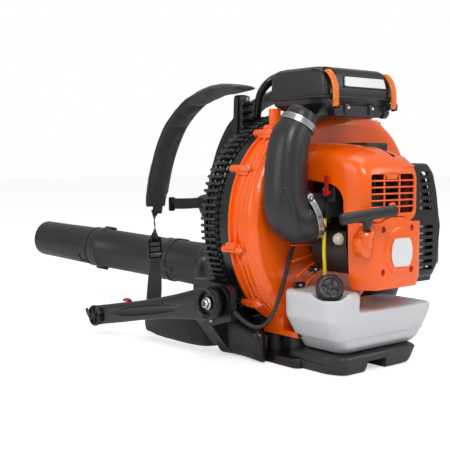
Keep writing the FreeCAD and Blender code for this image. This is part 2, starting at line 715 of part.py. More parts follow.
def starter_housing():
    """Lower rear shell over the flywheel and recoil starter, with its rope guide."""
    rear, front, low, seam, wall = (float(v) for v in (S.starter_rear, S.starter_front, S.starter_bottom,
                                                       S.seam_height, S.wall))

    def block(inset):
        wires = []
        ends = ((-rear + inset, -57, 64, low + 2, seam), (-front + inset * 4, -76, 74, low - 2, seam))
        for depth, left, right, bottom, top in ends:
            corners = [at(left + inset, depth, bottom + inset), at(right - inset, depth, bottom + inset),
                       at(right - inset, depth, top - inset), at(left + inset, depth, top - inset)]
            wires.append(Part.makePolygon(corners + corners[:1]))
        return Part.makeLoft(wires, True, True)

    outer = block(0)
    outer = outer.makeFillet(8, [edge for edge in outer.Edges if edge.BoundBox.YMin < -front - 5
                                 and edge.BoundBox.ZMin < seam - 5])
    shell = outer.cut(block(wall))
    shell = shell.fuse(Part.makeCylinder(46, 2.4, at(0, -rear - 2, S.crank_height), AXIS["y"]))
    post = Part.makeCylinder(12, rear - 214 - wall + 0.4, at(0, -rear + wall - 0.4, S.crank_height),
                             AXIS["y"])
    spindle = Part.makeCylinder(5, rear - 201, at(0, -rear, S.crank_height), AXIS["y"])
    shell = shell.fuse([post, spindle])
    holes = [Part.makeCylinder(6, 12, at(x, -rear - 4, z), AXIS["y"])
             for x in (-36, 36) for z in (184, 254)]
    guide_foot = rope_guide_point(-14)
    saddle = Part.makeBox(30, 22, 18, at(-86, -230, 224))
    guide = Part.makeCylinder(11, 30, guide_foot, pull_direction())
    bore = Part.makeCylinder(6.6, 70, rope_guide_point(-40), pull_direction())
    top_slot = Part.makeBox(100, front - 170 + 30, 10, at(-50, -rear + 12, seam - 4))
    return keep(shaped(shell.cut(Part.makeCompound(holes)).cut(top_slot).fuse([guide, saddle]).cut(bore)),
                "starter_housing")


def pull_direction():
    return unit(-0.36, -0.42, 0.83)


def rope_guide_point(distance):
    """A point on the starter rope's line, from the mouth of its guide."""
    return at(-79, -231, 243) + pull_direction() * distance


def starter_pulley():
    profile = [(5.1, 0), (S.pulley_radius, 0), (S.pulley_radius, 2), (26, 3), (26, 8), (S.pulley_radius, 9),
               (S.pulley_radius, 11), (5.1, 11)]
    return keep(put(turned(profile), at(0, -202, S.crank_height), Vector(0, -1, 0)), "starter_pulley")


def starter_rope():
    """The rope wound in the pulley's groove."""
    ring = DOC.addObject("Part::Torus", "torus")
    ring.Radius1 = 29.3
    ring.Radius2 = 2.1
    return keep(put(ring, at(0, -207.5, S.crank_height), AXIS["y"]), "starter_rope")


def starter_handle():
    """T grip with a tapered neck that seats in the rope guide."""
    neck = turned([(0, 0), (6, 0), (9, 18), (9, 26), (0, 26)])
    put(neck, rope_guide_point(16.6), pull_direction())
    middle = rope_guide_point(48)
    bar_axis = unit(0.80, -0.42, 0.134)
    bar = cylinder(9.5, 96, middle - bar_axis * 48, bar_axis)
    stub = cylinder(2, 30, rope_guide_point(-13), pull_direction())
    return keep(fuse(neck, bar, stub), "starter_handle")


# ---- intake -------------------------------------------------------------------------------

def carburetor():
    """Body with the intake bore along X, a bore for the throttle shaft, and a float chamber."""
    block = fuse(box((-82, -44.6), (-140, -98), (272, 314)), cylinder(15, 12, at(-66, -119, 262)))
    ear = fuse(box((-79, -76), (-156, -139), (300, 326)), box((-79, -60), (-144, -139), (300, 312)))
    bore = cylinder(12, 60, at(-100, -119, 293), AXIS["x"])
    throttle_bore = cylinder(3.05, 60, at(-66, -119, 277))
    choke_bore = cylinder(3.05, 20, at(-84, -148, 316), AXIS["x"])
    return keep(cut(fuse(block, ear), bore, throttle_bore, choke_bore), "carburetor")


def throttle_plate():
    """Butterfly disc on its upright shaft with the cable lever on top."""
    shaft = cylinder(3, 46, at(-66, -119, 278))
    disc = cylinder(11.6, 1.6, at(-66.8, -119, 293), AXIS["x"])
    lever = box((-70, -62), (-137, -115), (316, 319))
    return keep(fuse(shaft, disc, lever), "throttle_plate")


def choke_lever():
    """Red lever on its own pin at the carburettor's mouth."""
    hub = cylinder(6, 5, at(-92, -148, 316), AXIS["x"])
    blade = box((-90.5, -88), (-152, -144), (316, 346))
    pin = cylinder(3, 12, at(-92, -148, 316), AXIS["x"])
    return keep(fuse(hub, blade, pin), "choke_lever")


def primer_bulb():
    """Clear dome that the thumb presses to draw fuel."""
    dome = turned([(0, 0), (11, 0), (11, 3), (9, 9), (5, 13), (0, 14)])
    return keep(put(dome, at(-75, -168, 236), Vector(-1, 0, 0)), "primer_bulb")


def primer_base():
    plate = box((-78, -57), (-184, -150), (222, 250))
    return keep(cut(plate, cylinder(11.6, 8, at(-79, -168, 236), AXIS["x"])), "primer_base")


def air_duct():
    """Moulded duct: an oval column that swells at its foot and turns in to the carburettor."""
    stations = [((-113, -104, 441), 29, unit(0.5, -0.1, 0.86)), ((-134, -100, 405), 32, unit(0.3, 0, 0.95)),
                ((-142, -99, 360), 35, AXIS["z"]), ((-142, -100, 315), 38, AXIS["z"]),
                ((-136, -102, 275), 40, unit(-0.3, 0.1, 0.95))]

    def skin(inset, extra):
        wires = [Part.Wire(Part.Circle(at(*spot), axis, radius - inset).toShape())
                 for spot, radius, axis in stations]
        foot = Part.makeSphere(41 - inset, at(-134, -103, 268))
        spur = Part.makeCylinder(38 - inset, 31 + extra, at(-130, -104, 278), DUCT_TURN)
        return Part.makeLoft(wires, True).fuse([foot, spur])

    mouth = Part.makeCylinder(26, 12, at(-118, -103, 432.5), unit(0.5, -0.1, 0.86))
    keep_clear = Part.makeBox(100, 60, 400, at(-200, -62.8, 150))
    solid = skin(0, 0).cut(keep_clear)
    hollow = skin(3, 5).cut(Part.makeBox(100, 60, 400, at(-200, -66, 150)))
    return keep(shaped(solid.cut(hollow).cut(mouth)), "air_duct")


def intake_boot():
    """Rubber cuff between the duct and the carburettor."""
    wide, narrow = at(-99.5, -113.8, 281.2), at(-82.3, -119, 293)

    def cone(inset):
        return Part.makeLoft([Part.Wire(Part.Circle(wide, DUCT_TURN, 37 - inset).toShape()),
                              Part.Wire(Part.Circle(narrow, AXIS["x"], 21 - inset).toShape())], True)

    return keep(shaped(cone(0).cut(cone(4))), "intake_boot")


def band_clamps():
    """Worm-drive bands: at the top and the foot of the duct, and on the hose at the elbow."""
    bands = []
    for centre, axis, radius in ((at(-113, -104, 441), unit(0.5, -0.1, 0.86), 29.6),
                                 (at(-102.5, -112.8, 281), DUCT_TURN, 40),
                                 (HOSE_START + Vector(0, -14, 0), AXIS["y"], float(S.tube_radius) + 0.2)):
        bands.append(pipe(centre + axis * 1.5, centre + axis * 10.5, radius + 1.4, radius))
    return keep(shaped(Part.makeCompound(bands)), "band_clamps")


def filter_base():
    """Lower half of the air filter housing with the spout that feeds the duct."""
    half, rear, low, seam = (float(v) for v in (S.filter_half, S.filter_rear, S.filter_bottom,
                                                S.filter_seam))
    tray = Part.makeBox(2 * half - 6, rear, seam - low - 0.4, at(3 - half, -rear, low))
    belly = Part.makeBox(2 * half - 50, 78, 22, at(-half + 30, -rear + 6, low - 20))
    tray = tray.cut(Part.makeBox(2 * half - 14, rear - 8, 40, at(7 - half, 4 - rear, low + 4)))
    axis = unit(0.5, -0.1, 0.86)
    spout = Part.makeCylinder(29, 38, at(-112.4, -104.2, 442.1), axis)
    spout = spout.cut(Part.makeCylinder(26, 80, at(-122, -103, 426), axis))
    lugs = [Part.makeBox(12, 16, 18, at(x, -rear + 2, low - 18)) for x in (-42, 62)]
    solid = tray.fuse([belly.cut(Part.makeCylinder(26, 80, at(-122, -103, 426), axis))] + lugs)
    solid = solid.cut(Part.makeCylinder(29.5, 36, at(-112.4, -104.2, 442.1), axis)).fuse(spout)
    return keep(shaped(solid.removeSplitter()), "filter_base")


def filter_cover():
    """Domed lid: a lofted shell with a falling rear face and blank label panel."""
    half, rear, seam, top = (float(v) for v in (S.filter_half, S.filter_rear, S.filter_seam, S.filter_top))

    def block(inset):
        levels = [(seam - (inset > 0), 0, 0), (seam + 14, 0, 1), (seam + 34, 5, 8), (top - inset, 12, 22)]
        wires = []
        for height, side, back in levels:
            x, y0, y1 = half - side - inset, -rear + back + inset, -side / 3 - inset
            plan = [(14 - x, y0), (x - 14, y0), (x, y0 + 14), (x, y1 - 8),
                    (x - 8, y1), (8 - x, y1), (-x, y1 - 8), (-x, y0 + 14)]
            corners = [at(*place, height) for place in plan]
            wires.append(Part.makePolygon(corners + corners[:1]))
        return Part.makeLoft(wires, True, True)

    shell = block(0).cut(block(float(S.wall)))
    notches = [Part.makeBox(15, 12, 40, at(x - 7.5, -rear - 1, seam - 5)) for x in (-78, 78)]
    return keep(shaped(shell.cut(Part.makeCompound(notches))), "filter_cover")


def filter_element():
    """Pleated paper block that fills the housing."""
    x0, x1, y0, y1 = -80, 80, -130, -14
    corners = []
    for pleat in range(20):
        step = (x1 - x0) / 20
        corners += [(x0 + step * pleat, 476), (x0 + step * (pleat + 0.5), 482)]
    corners += [(x1, 476), (x1, 512), (x0, 512)]
    return keep(shaped(extruded(corners, in_rear_view(y0), Vector(0, y1 - y0, 0))), "filter_element")


def filter_latch(label, side):
    """Swinging hook: ribbed strap hinged on the base that snaps over the lid's shoulder."""
    rear, seam = float(S.filter_rear), float(S.filter_seam)
    strap = [(-rear - 6, seam - 16), (-rear - 1, seam - 16), (-rear - 1, seam + 15), (-rear + 4, seam + 28),
             (-rear - 2, seam + 30), (-rear - 7, seam + 16)]
    solid = extruded(strap, in_side_view(side - 6), Vector(12, 0, 0))
    hinge = Part.makeCylinder(3.5, 12, at(side - 6, -rear - 4, seam - 16), AXIS["x"])
    return keep(shaped(solid.fuse(hinge)), label)


# ---- fuel ---------------------------------------------------------------------------------

def cap_direction():
    return unit(-0.52, -0.66, 0.54)


def cap_point(distance):
    """A point on the filler's axis, from the root of its neck."""
    return at(-98, -165, 146) + cap_direction() * distance


def fuel_tank():
    """Moulded tank: its rear outline and its side outline crossed, then hollowed."""
    half, rear, front = float(S.tank_half), float(S.tank_rear), float(S.tank_front)
    low, deck, shoulder = float(S.tank_bottom), float(S.tank_deck), float(S.tank_shoulder)
    corner_round = 10

    def block(inset):
        seen_behind = [(-100, low), (98, low), (half + 8, deck - 9), (half + 4, deck), (-50, deck),
                       (-58, shoulder),
                       (-half, shoulder), (-half, deck + 11), (-118, 84)]
        seen_aside = [(-rear, low), (-rear + 55, low), (-115, 88), (-front - 5, 120), (-front, shoulder),
                      (-rear, shoulder)]
        faces = []
        for points, view in ((seen_behind, in_rear_view(-rear)), (seen_aside, in_side_view(-half - 10))):
            corners = [view(*point) for point in points]
            shrunk = Part.makePolygon(corners + corners[:1]).makeOffset2D(-inset - corner_round, 2)
            faces.append(Part.Face(shrunk.makeOffset2D(corner_round, 0)))
        first = faces[0].extrude(Vector(0, rear - front, 0))
        second = faces[1].extrude(Vector(2 * half + 30, 0, 0))
        solid = first.common(second)
        if inset:
            depth = rear - front - 2 * inset
            solid = solid.common(Part.makeBox(600, depth, 400, at(-300, inset - rear, 0)))
        return solid

    solid = block(0)
    recess = Part.makeCylinder(30, 60, cap_point(6), cap_direction())
    solid = solid.cut(recess).fuse(Part.makeCylinder(float(S.neck_radius), 40, cap_point(-14),
                                                     cap_direction()))
    cavity = block(3.5).cut(Part.makeCylinder(34, 60, cap_point(2), cap_direction()))
    solid = solid.cut(cavity).cut(Part.makeCylinder(15, 70, cap_point(-30), cap_direction()))
    return keep(shaped(solid), "fuel_tank")


def fuel_cap():
    """Knurled cap over the filler neck."""
    r, neck = S.cap_radius, S.neck_radius + 0.06
    cap = turned([(0, 27), (neck, 27), (neck, 8), (r - 2, 8), (r, 10), (r, 28), (r - 4, 33), (0, 33)])
    groove = grow(cap, "Pocket", ring_sketch(cap, "XY_Plane", [(24.5, 0, 2.2)], offset=7), 40,
                  other_way=True)
    around(cap, groove, 10)
    return keep(put(cap, cap_point(0), cap_direction()), "fuel_cap")


def fuel_line():
    route = [at(-78, -134, 270.4), at(-85, -140, 242), at(-91, -145, 210), at(-84, -142, 176),
             at(-78, -136, 145)]
    return keep(shaped(swept(route, 3.4, "fuel_line")), "fuel_line")


def tank_guard():
    """Skid tray under the tank: flared block hollowed from below, notched at the rear."""
    high = float(S.skid_height)
    wires = []
    levels = ((0, -98, 78, -202, -118, 22), (high, -112, 107, -212, -112, 26))
    for height, left, right, rear, front, corner in levels:
        plan = [(left + corner, rear), (right - corner, rear), (right, rear + corner),
                (right, front), (left, front), (left, rear + corner)]
        corners = [at(*place, height) for place in plan]
        wires.append(Part.makePolygon(corners + corners[:1]))
    block = Part.makeLoft(wires, True, True)
    hollow = Part.makeBox(150, 62, high - 6, at(-84, -186, -1))
    notch = extruded([(-37, -1), (14, -1), (10, 20), (-20, 20)], in_rear_view(-230), Vector(0, 60, 0))
    return keep(shaped(block.cut(hollow).cut(notch)), "tank_guard")


# ---- frame --------------------------------------------------------------------------------

def frame_base():
    """Foot of the L-shaped frame: a rounded slab with lightening pockets below."""
    half, rear, front = S.base_half, S.base_rear, S.base_front
    body = new_body()
    pad(body, "XY_Plane", [(-half, -rear), (half, -rear), (half, front), (-half, front)], S.base_height)
    rounded(body, 14, lambda middle, edge: edge.BoundBox.ZLength > 10)
    rounded(body, 3, lambda middle, edge: middle.z > float(S.base_height) - 0.1)
    pocket(body, "XY_Plane", [(-95, 22), (95, 22), (95, 78), (-95, 78)], 12, other_way=True)
    return keep(body, "frame_base")


def back_panel():
    """Upright panel that tapers to the top, with two windows for the intake air."""
    front, low, top = float(S.panel_front), float(S.base_height), float(S.panel_top)
    edge = [(-116, low), (116, low), (128, 120), (122, 300), (92, top), (-92, top), (-122, 300), (-128, 120)]
    plate = extruded(edge, in_rear_view(front - float(S.panel_thick)), Vector(0, float(S.panel_thick), 0))
    windows = []
    for z, width in ((70, 120), (190, 130), (310, 120), (410, 100)):
        outline = [(-width / 2, z), (width / 2, z), (width / 2 - 6, z + 62), (6 - width / 2, z + 62)]
        windows.append(extruded(outline, in_rear_view(0), Vector(0, 200, 0)))
    anchors = [Part.makeBox(46, float(S.panel_thick), 44, at(x - 23, front - float(S.panel_thick), top - 4))
               for x in (-62, 62)]
    return keep(shaped(plate.cut(Part.makeCompound(windows)).fuse(anchors).removeSplitter()), "back_panel")


def arm_bracket():
    """Left leg of the frame that carries the throttle arm's pivot outside the fan housing."""
    leg = extruded([(-112, 18.4), (-128.6, 120), (-128.6, 150), (-198, 150), (-198, 78), (-150, 18.4)],
                   in_rear_view(50), Vector(0, 42, 0))
    leg = leg.cut(Part.makeBox(60, 60, 200, at(-133, 76, 0)))
    ear = extruded([(-18, 84), (60, 60), (60, 150), (-4, 147), (-18, 138)], in_side_view(-198),
                   Vector(14, 0, 0))
    clear = scroll_face(-9, 0, 140).extrude(Vector(0, 49.5, 0))
    clear = clear.fuse(scroll_face(3, 49, 140).extrude(Vector(0, 32, 0)))
    boss = Part.makeCylinder(28, 12, at(-201, S.arm_pivot_y, S.arm_pivot_z), AXIS["x"])
    bore = Part.makeCylinder(6.05, 80, at(-240, S.arm_pivot_y, S.arm_pivot_z), AXIS["x"])
    return keep(shaped(leg.fuse([ear, boss]).cut(clear).cut(bore)), "arm_bracket")


def antivibration_mounts():
    """Rubber mounts between the frame foot and the fan housing's feet."""
    spots = [(-85, -72), (85, -72), (-85, -18), (85, -18)]
    foot = float(S.base_height) + 0.3
    pieces = [Part.makeCylinder(float(S.mount_radius), 32.4, at(x, y, foot)) for x, y in spots]
    return keep(shaped(Part.makeCompound(pieces)), "antivibration_mounts")


# ---- throttle arm -----------------------------------------------------------------------

def throttle_arm():
    """Tapered arm with a bossed pivot at one end and a cross knuckle at the other."""
    pivot = at(-S.arm_side, S.arm_pivot_y, S.arm_pivot_z)
    end = at(-S.arm_side, S.arm_end_y, S.arm_end_z)
    along = (end - pivot).normalize()
    up = along.cross(AXIS["x"]) * -1
    wires = []
    for place, wide, tall in ((0, 13, 30), (95, 13, 24), (160, 13, 21), (225, 12.5, 19.5), (370, 12, 20.5)):
        centre = pivot + along * place
        outline = Part.Ellipse(centre + up * tall, centre + AXIS["x"] * wide, centre)
        wires.append(Part.Wire(outline.toShape()))
    beam = Part.makeLoft(wires, True)
    boss = Part.makeCylinder(31, 28, pivot - AXIS["x"] * 14, AXIS["x"])
    knuckle = Part.makeCylinder(21, 32, end - AXIS["x"] * 18, AXIS["x"])
    recess = Part.makeCylinder(20, 12, pivot - AXIS["x"] * 20, AXIS["x"])
    bore = Part.makeCylinder(6.05, 60, pivot - AXIS["x"] * 30, AXIS["x"])
    shaft = Part.makeCylinder(5.05, 60, end - AXIS["x"] * 30, AXIS["x"])
    return keep(shaped(beam.fuse([boss, knuckle]).cut(recess).cut(bore).cut(shaft)), "throttle_arm")


def arm_bolt():
    """Pivot bolt with a hexagon head in the arm's recess."""
    turns = [math.radians(60 * k) for k in range(7)]
    corners = [Vector(11 * math.cos(turn), 11 * math.sin(turn), 0) for turn in turns]
    head = Part.Face(Part.makePolygon(corners)).extrude(Vector(0, 0, 6))
    bolt = head.fuse(Part.makeCylinder(6, 42, Vector(0, 0, 5)))
    return keep(shaped(bolt, at(-S.arm_side - 14.5, S.arm_pivot_y, S.arm_pivot_z), AXIS["x"]), "arm_bolt")


def throttle_lever():
    """Lever with its shaft through the arm's knuckle and a ribbed cap outside."""
    end = at(-S.arm_side, S.arm_end_y, S.arm_end_z)
    shaft = Part.makeCylinder(5, 46, end - AXIS["x"] * 22, AXIS["x"])
    cap = Part.makeCylinder(22, 4, end - AXIS["x"] * 23, AXIS["x"])
    tongue = extruded([(-6, -2), (10, 30), (24, 34), (26, 26), (8, -8)],
                      lambda y, z: end + Vector(-23, y + 2, z - 18), Vector(4, 0, 0))
    paddle = Part.makeBox(8, 62, 10, end + Vector(17, -46, 8))
    arm = Part.makeCylinder(14, 8, end + AXIS["x"] * 17, AXIS["x"])
    return keep(shaped(shaft.fuse([cap, tongue, paddle, arm])), "throttle_lever")


def stop_switch():
    """Rocker let into the top of the arm."""
    place = at(-S.arm_side, 290, 82.6)
    return keep(shaped(Part.makeBox(10, 20, 5, place - Vector(5, 10, 0))), "stop_switch")


def throttle_cable():
    route = [at(-191, -20.5, 100), at(-187, -46, 82), at(-168, -68, 74), at(-146, -74, 96),
             at(-126, -74, 138), at(-110, -74, 184), at(-91, -72, 228), at(-73, -73, 264),
             at(-66, -93, 298)]
    return keep(shaped(swept(route, 3.6, "throttle_cable")), "throttle_cable")


# ---- harness --------------------------------------------------------------------------------

def shoulder_strap(label, side):
    """Padded strap from the panel's top over the shoulder, drawn in side view."""
    half = float(S.strap_width) / 2
    line = [(96, 506), (150, 511), (228, 492), (296, 446), (336, 390), (360, 330), (374, 268)]
    solid = band(line, float(S.strap_thick), in_side_view(side - half), Vector(2 * half, 0, 0))
    return keep(shaped(solid), label)


def lower_webbing():
    """Webbing from each shoulder pad to its ladder buckle, and the left wing down to the belt."""
    line = [(376, 256), (380, 225), (381, 201)]
    pieces = [band(line, 2, in_side_view(side - 12), Vector(24, 0, 0)) for side in (-85, 85)]
    top = [at(-99, 376, 150), at(-71, 376, 150), at(-71, 380, 150), at(-99, 380, 150)]
    low = [at(-136, 262, 88), at(-128, 262, 88), at(-122, 318, 88), at(-130, 318, 88)]
    wires = [Part.makePolygon(points + points[:1]) for points in (top, low)]
    pieces.append(Part.makeLoft(wires, True, True))
    return keep(shaped(Part.makeCompound(pieces)), "lower_webbing")


def strap_buckles():
    """Ladder buckles, one under each shoulder pad."""
    frames = []
    for side in (-85, 85):
        frame = Part.makeBox(38, 6, 46, at(side - 19, 378, 153))
        bars = [Part.makeBox(28, 12, 9, at(side - 14, 374, z)) for z in (159, 172, 185)]
        frames.append(frame.cut(Part.makeCompound(bars)))
    return keep(shaped(Part.makeCompound(frames)), "strap_buckles")


def chest_strap():
    """Narrow strap across the chest between the two shoulder pads."""
    return keep(shaped(Part.makeBox(104, 2.4, 25, at(-52, 362, 262))), "chest_strap")


def back_pad():
    """Padded back rest on the panel's front."""
    pad_body = new_body()
    outline_points = [(-92, 118), (92, 118), (84, 440), (-84, 440)]
    pad(pad_body, "XZ_Plane", outline_points, 24, offset=-(S.panel_front + 0.5), other_way=True)
    rounded(pad_body, 9, lambda middle, edge: True)
    return keep(pad_body, "back_pad")


def hip_belt():
    """Curved hip belt: left wing long, right wing folded in beside the hose."""
    outer = [(-118, 97), (-150, 114), (-165, 160), (-166, 250), (-160, 318), (-136, 318), (-138, 250),
             (-136, 170),
             (-118, 126), (88, 122), (92, 210), (110, 212), (116, 130), (108, 97)]
    corners = [at(x, y, 3) for x, y in outer]
    solid = Part.Face(Part.makePolygon(corners + corners[:1])).extrude(Vector(0, 0, 84))
    return keep(shaped(solid), "hip_belt")


def build():
    volute_rear()
    volute_front()
    intake_guard()
    impeller()
    outlet_elbow()
    hose_rear_section()
    hose_front_section()
    swivel_tube()
    mid_tube()
    nozzle_tube()
    tube_handle()
    crankshaft()
    crankcase()
    engine_cylinder()
    piston()
    connecting_rod()
    flywheel()
    ignition_coil()
    spark_plug()
    plug_cap()
    muffler()
    muffler_guard()
    engine_cover()
    starter_housing()
    starter_pulley()
    starter_rope()
    starter_handle()
    carburetor()
    throttle_plate()
    choke_lever()
    primer_bulb()
    primer_base()
    air_duct()
    intake_boot()
    band_clamps()
    filter_base()
    filter_cover()
    filter_element()
    filter_latch("latch_left", -78)
    filter_latch("latch_right", 78)
    fuel_tank()
    fuel_cap()
    fuel_line()
    tank_guard()
    frame_base()
    back_panel()
    arm_bracket()
    antivibration_mounts()
    throttle_arm()
    arm_bolt()
    throttle_lever()
    stop_switch()
    throttle_cable()
    shoulder_strap("shoulder_strap_left", -S.strap_side.number)
    shoulder_strap("shoulder_strap_right", S.strap_side.number)
    lower_webbing()
    strap_buckles()
    chest_strap()
    back_pad()
    hip_belt()


def check_and_write():
    """Refuse any failed object or invalid shape, then write one STEP file per sub-part."""
    DOC.recompute()
    failed = [item.Label for item in DOC.Objects if {"Invalid", "Error"} & set(item.State)]
    if failed:
        raise RuntimeError(f"failed objects: {failed}")
    os.makedirs("parts", exist_ok=True)
    for item in SUBPARTS:
        if item.Shape.isNull() or not item.Shape.isValid():
            raise RuntimeError(f"{item.Label} has no valid shape")
    for item in SUBPARTS:
        item.Shape.exportStep(f"parts/{item.Label}.step")
    print(f"{len(SUBPARTS)} sub-parts written")


build()
check_and_write()
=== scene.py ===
"""Backpack leaf blower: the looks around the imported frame."""

from __future__ import annotations

import json
import logging
import math
from dataclasses import dataclass, field
from typing import Callable, Sequence

import bmesh
import bpy
from mathutils import Matrix, Vector
from mathutils.bvhtree import BVHTree

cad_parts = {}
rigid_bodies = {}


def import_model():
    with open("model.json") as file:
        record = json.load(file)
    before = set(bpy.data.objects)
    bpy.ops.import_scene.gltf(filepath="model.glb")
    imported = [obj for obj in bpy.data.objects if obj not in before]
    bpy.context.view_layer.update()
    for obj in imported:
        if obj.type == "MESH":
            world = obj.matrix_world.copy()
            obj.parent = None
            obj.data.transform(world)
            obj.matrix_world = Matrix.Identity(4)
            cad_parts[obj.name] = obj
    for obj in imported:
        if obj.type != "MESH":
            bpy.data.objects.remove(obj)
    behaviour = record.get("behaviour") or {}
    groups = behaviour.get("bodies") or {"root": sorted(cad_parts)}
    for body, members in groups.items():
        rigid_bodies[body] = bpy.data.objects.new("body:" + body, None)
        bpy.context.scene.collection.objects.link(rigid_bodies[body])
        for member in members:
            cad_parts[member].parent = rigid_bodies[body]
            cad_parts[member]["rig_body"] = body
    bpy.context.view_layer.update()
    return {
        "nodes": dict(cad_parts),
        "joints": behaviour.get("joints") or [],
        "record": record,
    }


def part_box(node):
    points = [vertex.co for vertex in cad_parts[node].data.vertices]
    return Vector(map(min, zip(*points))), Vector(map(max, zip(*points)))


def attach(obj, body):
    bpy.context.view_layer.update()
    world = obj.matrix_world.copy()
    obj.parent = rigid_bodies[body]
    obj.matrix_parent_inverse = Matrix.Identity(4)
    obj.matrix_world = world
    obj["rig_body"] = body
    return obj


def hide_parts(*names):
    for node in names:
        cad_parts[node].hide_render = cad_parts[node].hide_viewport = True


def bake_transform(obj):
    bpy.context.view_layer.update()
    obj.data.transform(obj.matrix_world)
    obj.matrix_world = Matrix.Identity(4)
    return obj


LOG = logging.getLogger("blower")
MM = 0.001
UP = Vector((0, 0, 1))
Points = Sequence[Vector]

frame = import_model()


# ---- small helpers ------------------------------------------------------------------------


def mm(x: float, y: float, z: float) -> Vector:
    """A point or direction given in millimetres, in metres."""
    return Vector((x, y, z)) * MM


def direction(x: float, y: float, z: float) -> Vector:
    """A unit direction."""
    return Vector((x, y, z)).normalized()


def middle(node: str) -> Vector:
    """The centre of a frame node's box."""
    low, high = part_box(node)
    return (low + high) / 2


def square_to(axis: Vector, guide: Vector = UP) -> tuple[Vector, Vector]:
    """Two unit directions square to an axis.

    Args:
        axis: The direction they stand square to.
        guide: The second of them leans this way.

    Returns:
        The sideways and the upward direction.
    """
    side = axis.cross(guide)
    if side.length < 1e-4:
        side = axis.cross(Vector((0, 1, 0)))
    side.normalize()
    return side, side.cross(axis).normalized()


def new_mesh(name: str, points: Points, faces: Sequence[Sequence[int]],
             smooth: bool = True) -> bpy.types.Object:
    """A linked mesh object at the origin.

    Args:
        name: The piece's name.
        points: Its corners, in metres.
        faces: Corner indices of each face.
        smooth: Whether its faces shade smoothly.

    Returns:
        The new object.
    """
    mesh = bpy.data.meshes.new(name)
    mesh.from_pydata([tuple(point) for point in points], [], [tuple(face) for face in faces])
    mesh.validate()
    for polygon in mesh.polygons:
        polygon.use_smooth = smooth
    item = bpy.data.objects.new(name, mesh)
    bpy.context.scene.collection.objects.link(item)
    return item


def turn_outwards(item: bpy.types.Object, merge: float = 1e-6) -> bpy.types.Object:
    """Merges doubled corners and points every face outwards."""
    cage = bmesh.new()
    cage.from_mesh(item.data)
    bmesh.ops.remove_doubles(cage, verts=cage.verts, dist=merge)
    bmesh.ops.recalc_face_normals(cage, faces=cage.faces)
    cage.to_mesh(item.data)
    cage.free()
    return item


def bake_stack(item: bpy.types.Object) -> bpy.types.Object:
    """Applies a piece's modifiers and its place, and leaves it at the origin."""
    bpy.context.view_layer.update()
    seen = bpy.context.evaluated_depsgraph_get()
    mesh = bpy.data.meshes.new_from_object(item.evaluated_get(seen))
    mesh.transform(item.matrix_world)
    name, old = item.name, item
    slots = [slot.material for slot in item.material_slots]
    item = bpy.data.objects.new(name + "_made", mesh)
    bpy.context.scene.collection.objects.link(item)
    bpy.data.objects.remove(old)
    item.name = name
    if not mesh.materials:
        for material in slots:
            mesh.materials.append(material)
    return item


def soften(item: bpy.types.Object, width: float, segments: int = 2, angle: float = 34) -> bpy.types.Object:
    """A live bevel on the sharp edges of a piece.

    Args:
        item: The piece.
        width: The rounding's width in metres.
        segments: Steps across the rounding.
        angle: Edges sharper than this many degrees are rounded.

    Returns:
        The piece.
    """
    bevel = item.modifiers.new("edges", "BEVEL")
    bevel.width = width
    bevel.segments = segments
    bevel.limit_method = "ANGLE"
    bevel.angle_limit = math.radians(angle)
    bevel.harden_normals = True
    bevel.miter_outer = "MITER_ARC"
    item.data.set_sharp_from_angle(angle=math.radians(angle))
    return item


def subdivide(item: bpy.types.Object, levels: int = 2) -> bpy.types.Object:
    """A live subdivision surface on a coarse cage."""
    surface = item.modifiers.new("surface", "SUBSURF")
    surface.levels = levels
    surface.render_levels = levels
    return item


def ring(centre: Vector, side: Vector, rise: Vector, width: float, height: float, count: int,
         power: float = 2.0) -> list[Vector]:
    """Points round a superellipse.

    Args:
        centre: Its centre.
        side: Direction of its width.
        rise: Direction of its height.
        width: Half its width.
        height: Half its height.
        count: How many points.
        power: 2 for an ellipse, more for squarer corners.

    Returns:
        The points in order.
    """
    points = []
    for step in range(count):
        angle = 2 * math.pi * (step + 0.5) / count
        c, s = math.cos(angle), math.sin(angle)
        across = math.copysign(abs(c) ** (2 / power), c) * width
        along = math.copysign(abs(s) ** (2 / power), s) * height
        points.append(centre + side * across + rise * along)
    return points


def loft(name: str, rings: Sequence[Points], caps: bool = True, smooth: bool = True) -> bpy.types.Object:
    """A skin through rings of equally many points.

    Args:
        name: The piece's name.
        rings: The sections in order.
        caps: Whether the ends are closed.
        smooth: Whether its faces shade smoothly.

    Returns:
        The new object, its faces outwards.
    """
    count = len(rings[0])
    points = [point for section in rings for point in section]
    faces = []
    for row in range(len(rings) - 1):
        for step in range(count):
            a, b = row * count + step, row * count + (step + 1) % count
            faces.append((a, b, b + count, a + count))
    if caps:
        faces.append(tuple(range(count)))
        faces.append(tuple(range(len(points) - count, len(points))))
    return turn_outwards(new_mesh(name, points, faces, smooth))


def prism(name: str, outline: Points, depth: Vector) -> bpy.types.Object:
    """A flat outline drawn out along a direction."""
    return loft(name, [outline, [point + depth for point in outline]], smooth=True)


def brick(name: str, low: Vector, high: Vector) -> bpy.types.Object:
    """A block between two corners, as the start of a bevelled piece."""
    floor = [Vector((low.x, low.y, low.z)), Vector((high.x, low.y, low.z)),
             Vector((high.x, high.y, low.z)), Vector((low.x, high.y, low.z))]
    return prism(name, floor, UP * (high.z - low.z))


